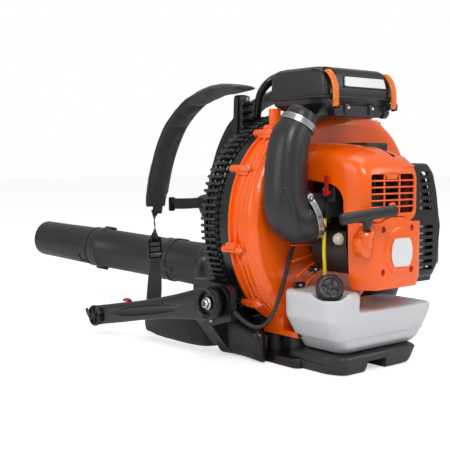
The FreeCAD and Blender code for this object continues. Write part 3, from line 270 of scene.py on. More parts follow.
def turned(name: str, profile: Sequence[tuple[float, float]], origin: Vector, axis: Vector,
           steps: int = 48) -> bpy.types.Object:
    """A profile of (radius, height) turned about an axis by a Screw, and put in place.

    Args:
        name: The piece's name.
        profile: Radius and height pairs in metres, from top to bottom.
        origin: Where height zero is.
        axis: The direction of height.
        steps: Facets round the axis.

    Returns:
        The finished mesh object.
    """
    mesh = bpy.data.meshes.new(name)
    points = [(radius, 0, height) for radius, height in profile]
    mesh.from_pydata(points, [(i, i + 1) for i in range(len(points) - 1)], [])
    item = bpy.data.objects.new(name, mesh)
    bpy.context.scene.collection.objects.link(item)
    screw = item.modifiers.new("turn", "SCREW")
    screw.steps = steps
    screw.render_steps = steps
    screw.use_merge_vertices = True
    screw.merge_threshold = 1e-5
    screw.use_smooth_shade = True
    item.matrix_world = Matrix.Translation(origin) @ axis.to_track_quat("Z", "Y").to_matrix().to_4x4()
    item = turn_outwards(bake_stack(item))
    item.data.set_sharp_from_angle(angle=math.radians(38))
    return item


def stood_at(place: Vector, axis: Vector) -> Matrix:
    """The transform that puts the origin at a place and turns Z to an axis."""
    return Matrix.Translation(place) @ axis.to_track_quat("Z", "Y").to_matrix().to_4x4()


def lathe(name: str, profile: Sequence[tuple[float, float]], origin: Vector, axis: Vector,
          steps: int) -> bpy.types.Object:
    """A turned piece whose profile is given in millimetres."""
    return turned(name, [(radius * MM, height * MM) for radius, height in profile], origin, axis, steps)


def swept_rings(path: Points, radius: Callable[[float], float], count: int, guide: Vector = UP,
                squash: float = 1.0) -> list[list[Vector]]:
    """Sections square to a path.

    Args:
        path: The centreline's points.
        radius: Radius in metres at a share of the path from 0 to 1.
        count: Points in each section.
        guide: Keeps the sections from twisting.
        squash: Height of a section as a share of its width.

    Returns:
        One ring of points for each point of the path.
    """
    rings = []
    last = len(path) - 1
    for index, point in enumerate(path):
        tangent = (path[min(index + 1, last)] - path[max(index - 1, 0)]).normalized()
        side, rise = square_to(tangent, guide)
        size = radius(index / last)
        rings.append(ring(point, side, rise, size, size * squash, count))
    return rings


def smooth_path(points: Points, steps: int) -> list[Vector]:
    """Points evenly spread on a Catmull-Rom curve through the given points."""
    spots = [points[0] * 2 - points[1], *points, points[-1] * 2 - points[-2]]
    path = []
    for index in range(1, len(spots) - 2):
        a, b, c, d = spots[index - 1:index + 3]
        for step in range(steps):
            u = step / steps
            path.append(0.5 * (2 * b + (c - a) * u + (2 * a - 5 * b + 4 * c - d) * u * u
                               + (3 * b - a - 3 * c + d) * u ** 3))
    return path + [points[-1].copy()]


def joined(name: str, items: Sequence[bpy.types.Object]) -> bpy.types.Object:
    """One mesh of several finished pieces, their stacks applied."""
    cage = bmesh.new()
    slots: list[bpy.types.Material] = []
    for item in items:
        item = bake_stack(item) if item.modifiers or item.type != "MESH" else item
        shift = {}
        for index, slot in enumerate(item.material_slots):
            if slot.material not in slots:
                slots.append(slot.material)
            shift[index] = slots.index(slot.material)
        start = len(cage.faces)
        cage.from_mesh(item.data)
        cage.faces.ensure_lookup_table()
        for face in cage.faces[start:]:
            face.material_index = shift.get(face.material_index, 0)
        bpy.data.objects.remove(item)
    mesh = bpy.data.meshes.new(name)
    cage.to_mesh(mesh)
    cage.free()
    for material in slots:
        mesh.materials.append(material)
    result = bpy.data.objects.new(name, mesh)
    bpy.context.scene.collection.objects.link(result)
    mesh.set_sharp_from_angle(angle=math.radians(38))
    return result


def wire(name: str, route: Points, radius: float) -> bpy.types.Object:
    """A round wire along a NURBS line, made a mesh."""
    curve = bpy.data.curves.new(name, "CURVE")
    curve.dimensions = "3D"
    curve.bevel_depth = radius
    curve.bevel_resolution = 4
    curve.resolution_u = 12
    curve.use_fill_caps = True
    line = curve.splines.new("NURBS")
    line.points.add(len(route) - 1)
    for spot, point in zip(line.points, route):
        spot.co = (*point, 1)
    line.order_u = 3
    line.use_endpoint_u = True
    item = bpy.data.objects.new(name, curve)
    bpy.context.scene.collection.objects.link(item)
    return bake_stack(item)


def frame_skin(node: str, width: float, angle: float = 30) -> bpy.types.Object:
    """A merged copy of a frame node with softened edges, which stands for it.

    Args:
        node: The frame node's name.
        width: The rounding's width in metres.
        angle: Edges sharper than this many degrees are rounded.

    Returns:
        The new piece.
    """
    source = frame["nodes"][node]
    points = [vertex.co.copy() for vertex in source.data.vertices]
    item = new_mesh(node + "_skin", points, [polygon.vertices[:] for polygon in source.data.polygons])
    cage = bmesh.new()
    cage.from_mesh(item.data)
    bmesh.ops.remove_doubles(cage, verts=cage.verts, dist=2e-5)
    bmesh.ops.dissolve_limit(cage, angle_limit=math.radians(1.2), verts=cage.verts, edges=cage.edges)
    cage.to_mesh(item.data)
    cage.free()
    for polygon in item.data.polygons:
        polygon.use_smooth = True
    soften(item, width, 2, angle)
    item.modifiers["edges"].use_clamp_overlap = True
    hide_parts(node)
    return item


def slot_of(node: str) -> str:
    """The record's material slot of a frame node."""
    for row in frame["record"]["subparts"]:
        if row["node"] == node:
            return row["material_slot"]
    return ""


def body_of(node: str) -> str:
    """The body that a frame node rides on."""
    return frame["nodes"][node]["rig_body"]


# ---- finishes -----------------------------------------------------------------------------


class Nodes:
    """A small builder for one material's node tree."""

    def __init__(self, name: str) -> None:
        """Makes an empty material of this name, with its shader and its object coordinates."""
        self.material = bpy.data.materials.new(name)
        self.material.use_nodes = True
        self.tree = self.material.node_tree
        self.shader = self.tree.nodes["Principled BSDF"]
        self.place = self.add("ShaderNodeTexCoord").outputs["Object"]

    def add(self, kind: str, **values: object) -> bpy.types.Node:
        """A node with some of its properties or sockets set."""
        node = self.tree.nodes.new(kind)
        for key, value in values.items():
            if key in node.inputs:
                node.inputs[key].default_value = value
            else:
                setattr(node, key, value)
        return node

    def link(self, start: bpy.types.NodeSocket, end: bpy.types.NodeSocket) -> None:
        """Joins two sockets."""
        self.tree.links.new(start, end)

    def noise(self, scale: float, detail: float = 3, stretch: tuple[float, float, float] = (1, 1, 1),
              roughness: float = 0.5) -> bpy.types.NodeSocket:
        """Noise on object coordinates, stretched where wanted."""
        place = self.add("ShaderNodeMapping")
        place.inputs["Scale"].default_value = stretch
        self.link(self.place, place.inputs["Vector"])
        node = self.add("ShaderNodeTexNoise", Scale=scale, Detail=detail, Roughness=roughness)
        self.link(place.outputs["Vector"], node.inputs["Vector"])
        return node.outputs["Fac"]

    def remap(self, value: bpy.types.NodeSocket, low: float, high: float, start: float = 0.0,
              end: float = 1.0) -> bpy.types.NodeSocket:
        """A value moved from one range to another."""
        node = self.add("ShaderNodeMapRange")
        node.inputs["From Min"].default_value = start
        node.inputs["From Max"].default_value = end
        node.inputs["To Min"].default_value = low
        node.inputs["To Max"].default_value = high
        self.link(value, node.inputs["Value"])
        return node.outputs["Result"]

    def blend(self, share: bpy.types.NodeSocket, first: Colour, second: Colour) -> bpy.types.NodeSocket:
        """A colour between two, by a share."""
        node = self.add("ShaderNodeMix", data_type="RGBA")
        self.link(share, node.inputs[0])
        node.inputs[6].default_value = (*first, 1)
        node.inputs[7].default_value = (*second, 1)
        return node.outputs[2]

    def sum(self, kind: str, first: bpy.types.NodeSocket,
            second: bpy.types.NodeSocket | float) -> bpy.types.NodeSocket:
        """Arithmetic on one or two sockets."""
        node = self.add("ShaderNodeMath", operation=kind)
        self.link(first, node.inputs[0])
        if isinstance(second, float):
            node.inputs[1].default_value = second
        else:
            self.link(second, node.inputs[1])
        return node.outputs[0]

    def relief(self, height: bpy.types.NodeSocket, depth: float, strength: float = 1.0) -> None:
        """Bump of a real depth in metres, added to any there is."""
        node = self.add("ShaderNodeBump", Distance=depth, Strength=strength)
        self.link(height, node.inputs["Height"])
        taken = self.shader.inputs["Normal"].links
        if taken:
            self.link(taken[0].from_socket, node.inputs["Normal"])
        self.link(node.outputs["Normal"], self.shader.inputs["Normal"])


Colour = tuple[float, float, float]


def tinted(colour: Colour, share: float) -> Colour:
    """A colour made lighter or darker by a factor."""
    return tuple(min(1.0, channel * share) for channel in colour)


@dataclass(frozen=True)
class MouldedPlastic:
    """Injection-moulded plastic: mottled colour, fine grain, faint flow marks and rubbed gloss."""

    name: str
    colour: Colour
    roughness: float = 0.42
    grain: float = 0.00006
    grain_scale: float = 1400
    coat: float = 0.0
    spread: float = 0.08
    glow: float = 0.0

    def make(self) -> bpy.types.Material:
        """The finished material."""
        kit = Nodes(self.name)
        patches = kit.noise(14, 4)
        kit.link(kit.blend(patches, tinted(self.colour, 1 - self.spread),
                           tinted(self.colour, 1 + self.spread)),
                 kit.shader.inputs["Base Color"])
        rubbed = kit.noise(60, 6, (1, 1, 2.5), 0.7)
        kit.link(kit.remap(rubbed, self.roughness * 0.8, self.roughness * 1.22, 0.3, 0.7),
                 kit.shader.inputs["Roughness"])
        kit.shader.inputs["Coat Weight"].default_value = self.coat
        kit.shader.inputs["Coat Roughness"].default_value = 0.08
        kit.shader.inputs["IOR"].default_value = 1.49
        if self.glow:
            kit.shader.inputs["Subsurface Weight"].default_value = self.glow
            kit.shader.inputs["Subsurface Scale"].default_value = 0.012
            kit.shader.inputs["Subsurface Radius"].default_value = (1.0, 1.0, 1.0)
        kit.relief(kit.noise(self.grain_scale, 2), self.grain)
        kit.relief(kit.noise(26, 2), 0.00035, 0.25)
        return kit.material


@dataclass(frozen=True)
class Metal:
    """Bare or plated metal with drawn or cast texture."""

    name: str
    colour: Colour
    roughness: float = 0.3
    drawn: tuple[float, float, float] = (1, 1, 12)
    cast: bool = False

    def make(self) -> bpy.types.Material:
        """The finished material."""
        kit = Nodes(self.name)
        kit.shader.inputs["Metallic"].default_value = 1.0
        stain = kit.noise(40, 5)
        kit.link(kit.blend(stain, tinted(self.colour, 0.72), tinted(self.colour, 1.12)),
                 kit.shader.inputs["Base Color"])
        marks = kit.noise(700 if self.cast else 420, 4, (1, 1, 1) if self.cast else self.drawn, 0.6)
        kit.link(kit.remap(marks, self.roughness * 0.75, self.roughness * 1.3, 0.3, 0.7),
                 kit.shader.inputs["Roughness"])
        kit.relief(marks, 0.0002 if self.cast else 0.00003)
        return kit.material


@dataclass(frozen=True)
class Rubber:
    """Moulded rubber with a dusty bloom."""

    name: str
    colour: Colour
    roughness: float = 0.6

    def make(self) -> bpy.types.Material:
        """The finished material."""
        kit = Nodes(self.name)
        bloom = kit.remap(kit.noise(30, 6, roughness=0.65), 0, 1, 0.45, 0.8)
        kit.link(kit.blend(bloom, self.colour, tinted(self.colour, 2.2)), kit.shader.inputs["Base Color"])
        kit.link(kit.remap(bloom, self.roughness, min(1, self.roughness * 1.25)),
                 kit.shader.inputs["Roughness"])
        kit.relief(kit.noise(900, 3), 0.00012)
        return kit.material


@dataclass(frozen=True)
class Cloth:
    """Woven cloth: crossing threads, fibre fuzz, uneven dye, and painted shade between the threads."""

    name: str
    colour: Colour
    pitch: float = 0.0011
    depth: float = 0.00035
    sheen: float = 0.35
    mesh_holes: bool = False

    def make(self) -> bpy.types.Material:
        """The finished material."""
        kit = Nodes(self.name)
        waves = []
        for row, turn in enumerate(((0, 0, math.radians(45)), (math.radians(90), 0, math.radians(45)))):
            place = kit.add("ShaderNodeMapping")
            place.inputs["Rotation"].default_value = turn
            kit.link(kit.place, place.inputs["Vector"])
            wave = kit.add("ShaderNodeTexWave", bands_direction="X" if row == 0 else "Z",
                           Scale=1 / self.pitch / 3.2,
                           Distortion=1.2)
            wave.inputs["Detail"].default_value = 1
            wave.inputs["Detail Scale"].default_value = 2
            kit.link(place.outputs["Vector"], wave.inputs["Vector"])
            waves.append(wave.outputs["Fac"])
        weave = kit.sum("MULTIPLY" if self.mesh_holes else "MAXIMUM", waves[0], waves[1])
        dye = kit.noise(22, 5)
        # The weave darkens the colour between the threads and lightens their tops: painted shade and
        # highlight, multiplied by the uneven dye.
        shade = kit.sum("MULTIPLY", kit.remap(weave, 0.55, 1.25), kit.remap(dye, 0.8, 1.2, 0.3, 0.7))
        tint = kit.add("ShaderNodeMix", data_type="RGBA", blend_type="MULTIPLY")
        tint.inputs[0].default_value = 1
        tint.inputs[6].default_value = (*self.colour, 1)
        kit.link(shade, tint.inputs[7])
        kit.link(tint.outputs[2], kit.shader.inputs["Base Color"])
        kit.link(kit.remap(weave, 0.95, 0.68), kit.shader.inputs["Roughness"])
        kit.shader.inputs["Sheen Weight"].default_value = self.sheen
        kit.shader.inputs["Sheen Roughness"].default_value = 0.45
        kit.relief(weave, self.depth)
        kit.relief(kit.noise(2600, 2), 0.0001)
        return kit.material


@dataclass(frozen=True)
class Finishes:
    """Every finish of the blower, by use."""

    table: dict[str, bpy.types.Material] = field(default_factory=dict)

    def get(self, recipe: MouldedPlastic | Metal | Rubber | Cloth) -> bpy.types.Material:
        """The recipe's material, made once."""
        if recipe.name not in self.table:
            self.table[recipe.name] = recipe.make()
        return self.table[recipe.name]


SHELL = MouldedPlastic("orange_shell", (0.92, 0.115, 0.0), 0.26, 0.00001, 900, 0.4, 0.05)
# Darker red-orange copy of the orange shell: painted shade for its recesses and its shaded side.
SHADED_SHELL = MouldedPlastic("shaded_orange_shell", (0.42, 0.02, 0.006), 0.35, 0.00002, 900, 0.2, 0.06)
GREY = MouldedPlastic("charcoal_plastic", (0.019, 0.0195, 0.022), 0.34, 0.00009, 1500, 0.05, 0.10)
DARK_GREY = MouldedPlastic("dark_tube_plastic", (0.017, 0.0175, 0.020), 0.34, 0.00006, 1300, 0.1, 0.10)
BLACK = MouldedPlastic("black_plastic", (0.006, 0.006, 0.0065), 0.30, 0.00006, 1500, 0.1, 0.10)
TANK = MouldedPlastic("tank_plastic", (0.62, 0.63, 0.655), 0.34, 0.00005, 700, 0.15, 0.02, 0.35)
LATCH = MouldedPlastic("latch_orange", (0.86, 0.22, 0.02), 0.35, 0.00005, 1200, 0.2, 0.05)
RED = MouldedPlastic("red_plastic", (0.45, 0.012, 0.012), 0.35, 0.00005, 1200, 0.2, 0.06)
PLATE = MouldedPlastic("label_plate", (0.74, 0.75, 0.77), 0.3, 0.00002, 1800, 0.3, 0.02)
BULB = MouldedPlastic("primer_bulb_plastic", (0.55, 0.5, 0.4), 0.2, 0.00001, 800, 0.3, 0.05, 0.5)
FUEL_HOSE = MouldedPlastic("fuel_hose", (0.72, 0.56, 0.02), 0.25, 0.00001, 900, 0.4, 0.06, 0.3)
PAPER = Cloth("filter_paper", (0.62, 0.52, 0.33), 0.0016, 0.0002, 0.1)
STEEL = Metal("zinc_steel", (0.62, 0.63, 0.64), 0.28)
ALLOY = Metal("cast_alloy", (0.13, 0.135, 0.14), 0.5, cast=True)
HOT_STEEL = Metal("heated_steel", (0.20, 0.17, 0.15), 0.45)
SEAL = Rubber("black_rubber", (0.016, 0.016, 0.016), 0.55)
HOSE = Rubber("hose_rubber", (0.018, 0.018, 0.02), 0.48)
WEBBING = Cloth("webbing", (0.018, 0.018, 0.02), 0.0016, 0.0004, 0.25)
PAD = Cloth("pad_cloth", (0.021, 0.021, 0.023), 0.0013, 0.0003, 0.3)
PAD_MESH = Cloth("pad_mesh", (0.03, 0.03, 0.033), 0.003, 0.0008, 0.3, True)
STITCH = Cloth("stitching", (0.16, 0.16, 0.17), 0.0006, 0.0001, 0.3)
ROPE = Cloth("rope_fibre", (0.5, 0.5, 0.48), 0.0012, 0.0003, 0.2)
FINISH = Finishes()

SLOT_FINISH = {
    "orange_shell": SHELL, "grey_plastic": GREY, "black_plastic": BLACK, "tank_white": TANK,
    "pad_fabric": PAD, "webbing": WEBBING, "rubber_black": SEAL, "hose_rubber": HOSE, "cast_alloy": ALLOY,
    "steel": STEEL, "exhaust_steel": HOT_STEEL, "latch_orange": LATCH, "red_plastic": RED,
    "bulb_clear": BULB, "fuel_hose": FUEL_HOSE, "filter_paper": PAPER, "rope_fibre": ROPE,
}


def paint(item: bpy.types.Object, recipe: MouldedPlastic | Metal | Rubber | Cloth) -> bpy.types.Object:
    """Gives a piece one finish."""
    item.data.materials.clear()
    item.data.materials.append(FINISH.get(recipe))
    return item


def settle(item: bpy.types.Object, recipe: MouldedPlastic | Metal | Rubber | Cloth | None, body: str,
           slot: str, *nodes: str) -> bpy.types.Object:
    """Paints a piece, hides the frame nodes it stands for, and makes it ride on a body.

    Args:
        item: The piece.
        recipe: Its finish, or None if it is already painted.
        body: The body it moves with.
        slot: The record's material slot; not used.
        nodes: Frame nodes that it stands for.

    Returns:
        The piece.
    """
    if recipe is not None:
        paint(item, recipe)
    if nodes:
        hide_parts(*nodes)
    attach(item, body)
    LOG.info("%s rides on %s", item.name, body)
    return item


# ---- studio -------------------------------------------------------------------------------


@dataclass
class Studio:
    """Pale floor, soft lights and the camera."""

    camera_place: Vector = field(default_factory=lambda: Vector((-1.18885, -1.20459, 0.37638)))
    heading: float = -39.5
    pitch: float = 4.4
    lens: float = 69.6

    def build(self) -> None:
        """Makes the whole studio."""
        self.camera()
        self.floor()
        self.light("key", Vector((-1.6, -2.0, 2.3)), 1.2, 44)
        self.light("fill", Vector((-2.4, 0.6, 1.2)), 1.4, 12)
        self.light("rear_fill", Vector((1.6, -2.2, 1.5)), 1.4, 16)
        self.light("top", Vector((0.2, 0.2, 2.6)), 1.8, 18)
        world = bpy.data.worlds.new("studio")
        world.use_nodes = True
        world.node_tree.nodes["Background"].inputs[0].default_value = (1, 1, 1, 1)
        world.node_tree.nodes["Background"].inputs[1].default_value = 0.44
        tree = world.node_tree
        seen = tree.nodes.new("ShaderNodeBackground")
        seen.inputs[0].default_value = (1, 1, 1, 1)
        seen.inputs[1].default_value = 1.0
        mix = tree.nodes.new("ShaderNodeMixShader")
        ray = tree.nodes.new("ShaderNodeLightPath")
        tree.links.new(ray.outputs["Is Camera Ray"], mix.inputs[0])
        tree.links.new(tree.nodes["Background"].outputs[0], mix.inputs[1])
        tree.links.new(seen.outputs[0], mix.inputs[2])
        tree.links.new(mix.outputs[0], tree.nodes["World Output"].inputs[0])
        bpy.context.scene.world = world
        bpy.context.scene.view_settings.view_transform = "Standard"

    def camera(self) -> None:
        """The camera, level with the filter and turned to the blower."""
        data = bpy.data.cameras.new("camera")
        data.lens = self.lens
        data.sensor_width = 36
        camera = bpy.data.objects.new("camera", data)
        camera.location = self.camera_place
        camera.rotation_euler = (math.radians(90 - self.pitch), 0, math.radians(self.heading))
        bpy.context.scene.collection.objects.link(camera)
        bpy.context.scene.camera = camera

    def floor(self) -> None:
        """A plain pale floor just under the foot."""
        size = 14.0
        corners = [Vector((x, y, -0.0004))
                   for x, y in ((-size, -size), (size, -size), (size, size), (-size, size))]
        floor = new_mesh("floor", corners, [(0, 1, 2, 3)])
        kit = Nodes("pale_floor")
        kit.link(kit.blend(kit.noise(2.5, 3), (0.86, 0.86, 0.87), (0.9, 0.9, 0.9)),
                 kit.shader.inputs["Base Color"])
        kit.shader.inputs["Roughness"].default_value = 0.5
        kit.shader.inputs["Emission Color"].default_value = (0.56, 0.56, 0.56, 1)
        kit.link(kit.tree.nodes.new("ShaderNodeLightPath").outputs["Is Camera Ray"],
                 kit.shader.inputs["Emission Strength"])
        floor.data.materials.append(kit.material)

    def light(self, name: str, place: Vector, size: float, power: float) -> None:
        """One soft square light aimed at the blower's middle."""
        data = bpy.data.lights.new(name, "AREA")
        data.size = size
        data.energy = power
        lamp = bpy.data.objects.new(name, data)
        lamp.location = place
        lamp.rotation_euler = (Vector((0.05, 0.1, 0.25)) - place).to_track_quat("-Z", "Y").to_euler()
        bpy.context.scene.collection.objects.link(lamp)


# ---- frame skins --------------------------------------------------------------------------


@dataclass
class Castings:
    """Frame nodes whose shape is right: softened copies and finishes."""

    softened: dict[str, float] = field(default_factory=lambda: {
        "volute_rear": 1.2, "volute_front": 1.0, "intake_guard": 0.5, "outlet_elbow": 0.6,
        "carburetor": 0.6, "choke_lever": 0.4, "primer_base": 0.6, "frame_base": 1.5, "arm_bracket": 1.5,
        "engine_cylinder": 0.3, "crankcase": 0.6})

    def build(self) -> None:
        """Finishes every frame node, and softens those in the table."""
        for node, item in frame["nodes"].items():
            slot = slot_of(node)
            item.data.materials.clear()
            item.data.materials.append(FINISH.get(SLOT_FINISH[slot]))
            item.data.set_sharp_from_angle(angle=math.radians(30))
        for node, width in self.softened.items():
            settle(frame_skin(node, width * MM), SLOT_FINISH[slot_of(node)], body_of(node), slot_of(node))


def carve(item: bpy.types.Object, *cutters: bpy.types.Object) -> bpy.types.Object:
    """Cuts closed helpers out of a piece, applies the result and removes the helpers."""
    for cutter in cutters:
        cut = item.modifiers.new("cut", "BOOLEAN")
        cut.operation = "DIFFERENCE"
        cut.solver = "EXACT"
        cut.object = cutter
    item = bake_stack(item)
    for cutter in cutters:
        bpy.data.objects.remove(cutter)
    return item


def rounded_outline(corners: Points, radius: float, steps: int = 4) -> list[Vector]:
    """A closed outline with its corners rounded.

    Args:
        corners: The outline's corners.
        radius: Rounding radius, shortened where a side is short.
        steps: Points on each rounded corner, less one.

    Returns:
        The outline's points in order.
    """
    points = []
    for index, corner in enumerate(corners):
        back = corners[index - 1] - corner
        ahead = corners[(index + 1) % len(corners)] - corner
        reach = min(radius, back.length * 0.45, ahead.length * 0.45)
        start, end = corner + back.normalized() * reach, corner + ahead.normalized() * reach
        for step in range(steps + 1):
            u = step / steps
            points.append(start * (1 - u) ** 2 + corner * 2 * u * (1 - u) + end * u ** 2)
    return points


def plane_points(pairs: Sequence[tuple[float, float]], plane: str, level: float) -> list[Vector]:
    """Points in millimetres on a plane square to an axis, in metres.

    Args:
        pairs: The two coordinates on the plane.
        plane: "xz" for a rear view, "yz" for a side view, "xy" for a top view.
        level: The third coordinate.

    Returns:
        The points in metres.
    """
    if plane == "xz":
        return [mm(x, level, z) for x, z in pairs]
    if plane == "yz":
        return [mm(level, y, z) for y, z in pairs]
    return [mm(x, y, level) for x, y in pairs]


def screw_head(place: Vector, axis: Vector, radius: float = 4.5 * MM) -> bpy.types.Object:
    """A button-head screw with a socket, painted as zinc-plated steel."""
    profile = [(0.0, 0.2), (0.45, 0.2), (0.5, 0.75), (0.8, 0.7), (1.0, 0.35), (1.0, 0.0), (0.0, 0.0)]
    head = turned("screw", [(r * radius, h * radius) for r, h in profile], place, axis, 18)
    return paint(head, STEEL)


# ---- engine covers ------------------------------------------------------------------------


@dataclass
class EngineCovers:
    """Top cover with its grille, and the starter housing below it."""

    left: float = -82
    right: float = 72
    wall: float = 2.6
    seam: float = 266.4
    bulge: float = 9.0
    bulge_half: float = 40.0
    grille: tuple[float, float, float, float] = (-63, 281, 50, 349)
    ridge: tuple[tuple[float, float, float], ...] = (
        (-78, 406, 0), (-120, 404, 0), (-160, 400, 0), (-180, 394, 0), (-198, 386, 1), (-212, 377, 4),
        (-221, 369, 8),
        (-226.5, 361, 13), (-228, 354, 17))

    def section(self, y: float, top: float, inset: float, wall: float) -> list[Vector]:
        """One closed section of the top cover, square to Y."""
        low, high = self.left + inset + wall, self.right - inset - wall
        crown = 12 if y > -190 else 7
        shoulder = top - crown - wall
        base = self.seam - (30 if wall else 0)
        corners = plane_points([(low, base), (low, shoulder - 3), (low * 0.45, top - 1.5 - wall),
                                (high * 0.45, top - 1.5 - wall), (high, shoulder - 3), (high, base)], "xz", y)
        return rounded_outline(corners, 24 * MM, 6)

    def hood(self, wall: float) -> bpy.types.Object:
        """The cover's solid, or with a wall its hollow."""
        rings = [self.section(y + wall, top, inset, wall) for y, top, inset in self.ridge]
        if wall:
            rings = [[point + mm(0, 20, 0) for point in rings[0]], *rings]
        return loft("engine_cover_shell", rings)

    def arch(self, grow: float, y0: float, y1: float) -> bpy.types.Object:
        """The bulge over the starter's boss, as a solid to cut with."""
        pairs = [(-self.bulge_half - grow, self.seam - 20)]
        for step in range(13):
            u = step / 6 - 1
            pairs.append((u * (self.bulge_half + grow), self.seam + (self.bulge + grow) * (1 - u * u) ** 0.7))
        pairs.append((self.bulge_half + grow, self.seam - 20))
        return prism("arch", plane_points(pairs, "xz", y0), mm(0, y1 - y0, 0))

    def cover(self) -> None:
        """The glossy top cover with its openings, grille and recess."""
        opening = [(-84, 250), (-182, 250), (-182, 306), (-172, 322), (-156, 331), (-122, 335), (-84, 340)]
        side = prism("side", rounded_outline(plane_points(opening, "yz", -96), 8 * MM), mm(40, 0, 0))
        exhaust = brick("exhaust", mm(50, -190, 255), mm(90, -86, 350))
        x0, z0, x1, z1 = self.grille
        mouth = prism("mouth", rounded_outline(
            plane_points([(x0, z0), (x1, z0), (x1, z1), (x0, z1)], "xz", -240), 7 * MM), mm(0, 30, 0))
        channel = prism("channel", rounded_outline(plane_points(
            [(-226, 420), (-226, 371), (-198, 379), (-160, 392), (-128, 396), (-128, 420)], "yz", 16),
            5 * MM),
            mm(38, 0, 0))
        shell = carve(self.hood(0), self.hood(self.wall), side, exhaust, mouth, channel,
                      self.arch(0.8, -240, -200))
        soften(shell, 0.9 * MM, 2, 32)
        settle(shell, SHELL, "root", "orange_shell", "engine_cover")
        settle(self.floor_of_channel(), SHELL, "root", "orange_shell")
        settle(self.bars(), SHELL, "root", "orange_shell")
        # A black plate inside the cover behind the carburettor: a dark sheet that paints shade into the
        # cavity seen through the side opening.
        shade_plate = brick("cavity_shade_plate", mm(-47, -186, 250), mm(-44.5, -74, 352))
        settle(soften(shade_plate, 0.8 * MM), BLACK, "root", "black_plastic")
        insert = brick("cover_insert", mm(-6, -166, 384), mm(52, -78, 404))
        settle(soften(insert, 3 * MM, 3), GREY, "root", "grey_plastic")
        # The boss on the cover's shaded left side gets the darker orange, a painted shade.
        boss = turned("cover_boss", [(0, 3), (3, 3), (3.4, 8), (7, 8), (8, 6), (8, -4), (0, -4)],
                      Vector(), UP, 32)
        boss.data.transform(Matrix.Scale(MM, 4))
        boss.data.transform(stood_at(mm(-82, -90, 364), direction(-1, 0, 0)))
        settle(boss, SHADED_SHELL, "root", "orange_shell")
        plug = turned("cover_boss_screw", [(0, 0.0052), (0.0028, 0.0052), (0.0028, 0), (0, 0)],
                      mm(-82, -90, 364), direction(-1, 0, 0), 16)
        settle(plug, BLACK, "root", "black_plastic")

    def floor_of_channel(self) -> bpy.types.Object:
        """The sunk floor of the channel on the cover's top right."""
        side = [(-225, 364), (-199, 372), (-161, 385), (-126, 390),
                (-126, 387), (-161, 382), (-199, 369), (-224, 360)]
        return soften(prism("cover_channel", plane_points(side, "yz", 15), mm(40, 0, 0)), 0.8 * MM)

    def bars(self) -> bpy.types.Object:
        """Grille bars, the lug at their foot and the tab at their head."""
        x0, z0, x1, z1 = self.grille
        pieces = []
        for row in range(1, 6):
            z = z0 + (z1 - z0) * row / 6
            pieces.append(soften(brick("bar", mm(x0 - 2, -228, z - 1.5), mm(x1 + 2, -224.6, z + 1.5)),
                                 0.7 * MM))
        for x in (-27, 13):
            pieces.append(soften(brick("post", mm(x - 1.6, -226.6, z0 - 2), mm(x + 1.6, -223.5, z1 + 2)),
                                 0.7 * MM))
        lug = rounded_outline(plane_points(
            [(-14, z0 - 2), (2, z0 - 2), (2, z0 + 19), (-14, z0 + 19)], "xz", -228), 8 * MM)
        pieces.append(soften(prism("lug", lug, mm(0, 5, 0)), 0.8 * MM))
        tab = rounded_outline(plane_points(
            [(-22, z1 - 9), (4, z1 - 9), (8, z1 + 2), (-26, z1 + 2)], "xz", -228), 3 * MM)
        pieces.append(soften(prism("tab", tab, mm(0, 4, 0)), 0.8 * MM))
        return joined("engine_cover_grille", pieces)

    def starter_section(self, y: float, grow: float, wall: float) -> list[Vector]:
        """One closed section of the starter housing, square to Y."""
        left, right, low = -59 - grow + wall, 65 + grow * 0.5 - wall, 149 - grow * 0.2 + wall
        top = self.seam - 1 - wall
        pairs = [(left + 9, low), (left, low + 22), (left - 3, 225), (left - 4, top)]
        for step in range(11):
            u = step / 5 - 1
            pairs.append((u * self.bulge_half, top + self.bulge * (1 - u * u) ** 0.7))
        pairs += [(right, top), (right, low + 16), (right - 9, low)]
        return plane_points(pairs, "xz", y)

    def starter(self) -> None:
        """The starter housing with sunk screw seats, a round boss and a blank plate."""
        stations = ((-233, -8), (-232, -4.6), (-229, -1.6), (-224, 0), (-205, 6), (-186, 12))
        body = loft("starter_housing_shell", [self.starter_section(y, grow, 0) for y, grow in stations])
        hollow = loft("hollow", [self.starter_section(y, grow, self.wall) for y, grow in
                                 ((-230, -3), (-224, 0), (-205, 5), (-180, 11))])
        seats = [turned("seat", [(0, 0.012), (0.0062, 0.012), (0.0056, -0.004), (0, -0.004)],
                        mm(x, -231.5, z),
                        direction(0, -1, 0), 24) for x in (-36, 40) for z in (180, 254)]
        shell = soften(carve(body, hollow, *seats), 1.0 * MM, 2, 32)
        settle(shell, SHELL, "root", "orange_shell", "starter_housing")
        boss = turned("starter_boss",
                      [(0.0, 2.6), (37, 2.6), (40.5, 1.8), (42.5, 0), (42.5, -1.5), (0, -1.5)],
                      Vector(), UP, 72)
        boss.data.transform(Matrix.Scale(MM, 4))
        boss.data.transform(stood_at(mm(6, -232.8, 216), direction(0, -1, 0)))
        settle(boss, SHELL, "root", "orange_shell")
        # Darker orange discs at the bottom of the sunk screw seats: painted shade in the recesses.
        for index, (x, z) in enumerate((x, z) for x in (-36, 40) for z in (180, 254)):
            cup = turned(f"starter_screw_seat_{index + 1}",
                         [(0, 0.0012), (0.0060, 0.0012), (0.0060, 0.0), (0, 0.0)],
                         mm(x, -228.4, z), direction(0, -1, 0), 24)
            settle(cup, SHADED_SHELL, "root", "orange_shell")
        self.plate()
        self.guide()

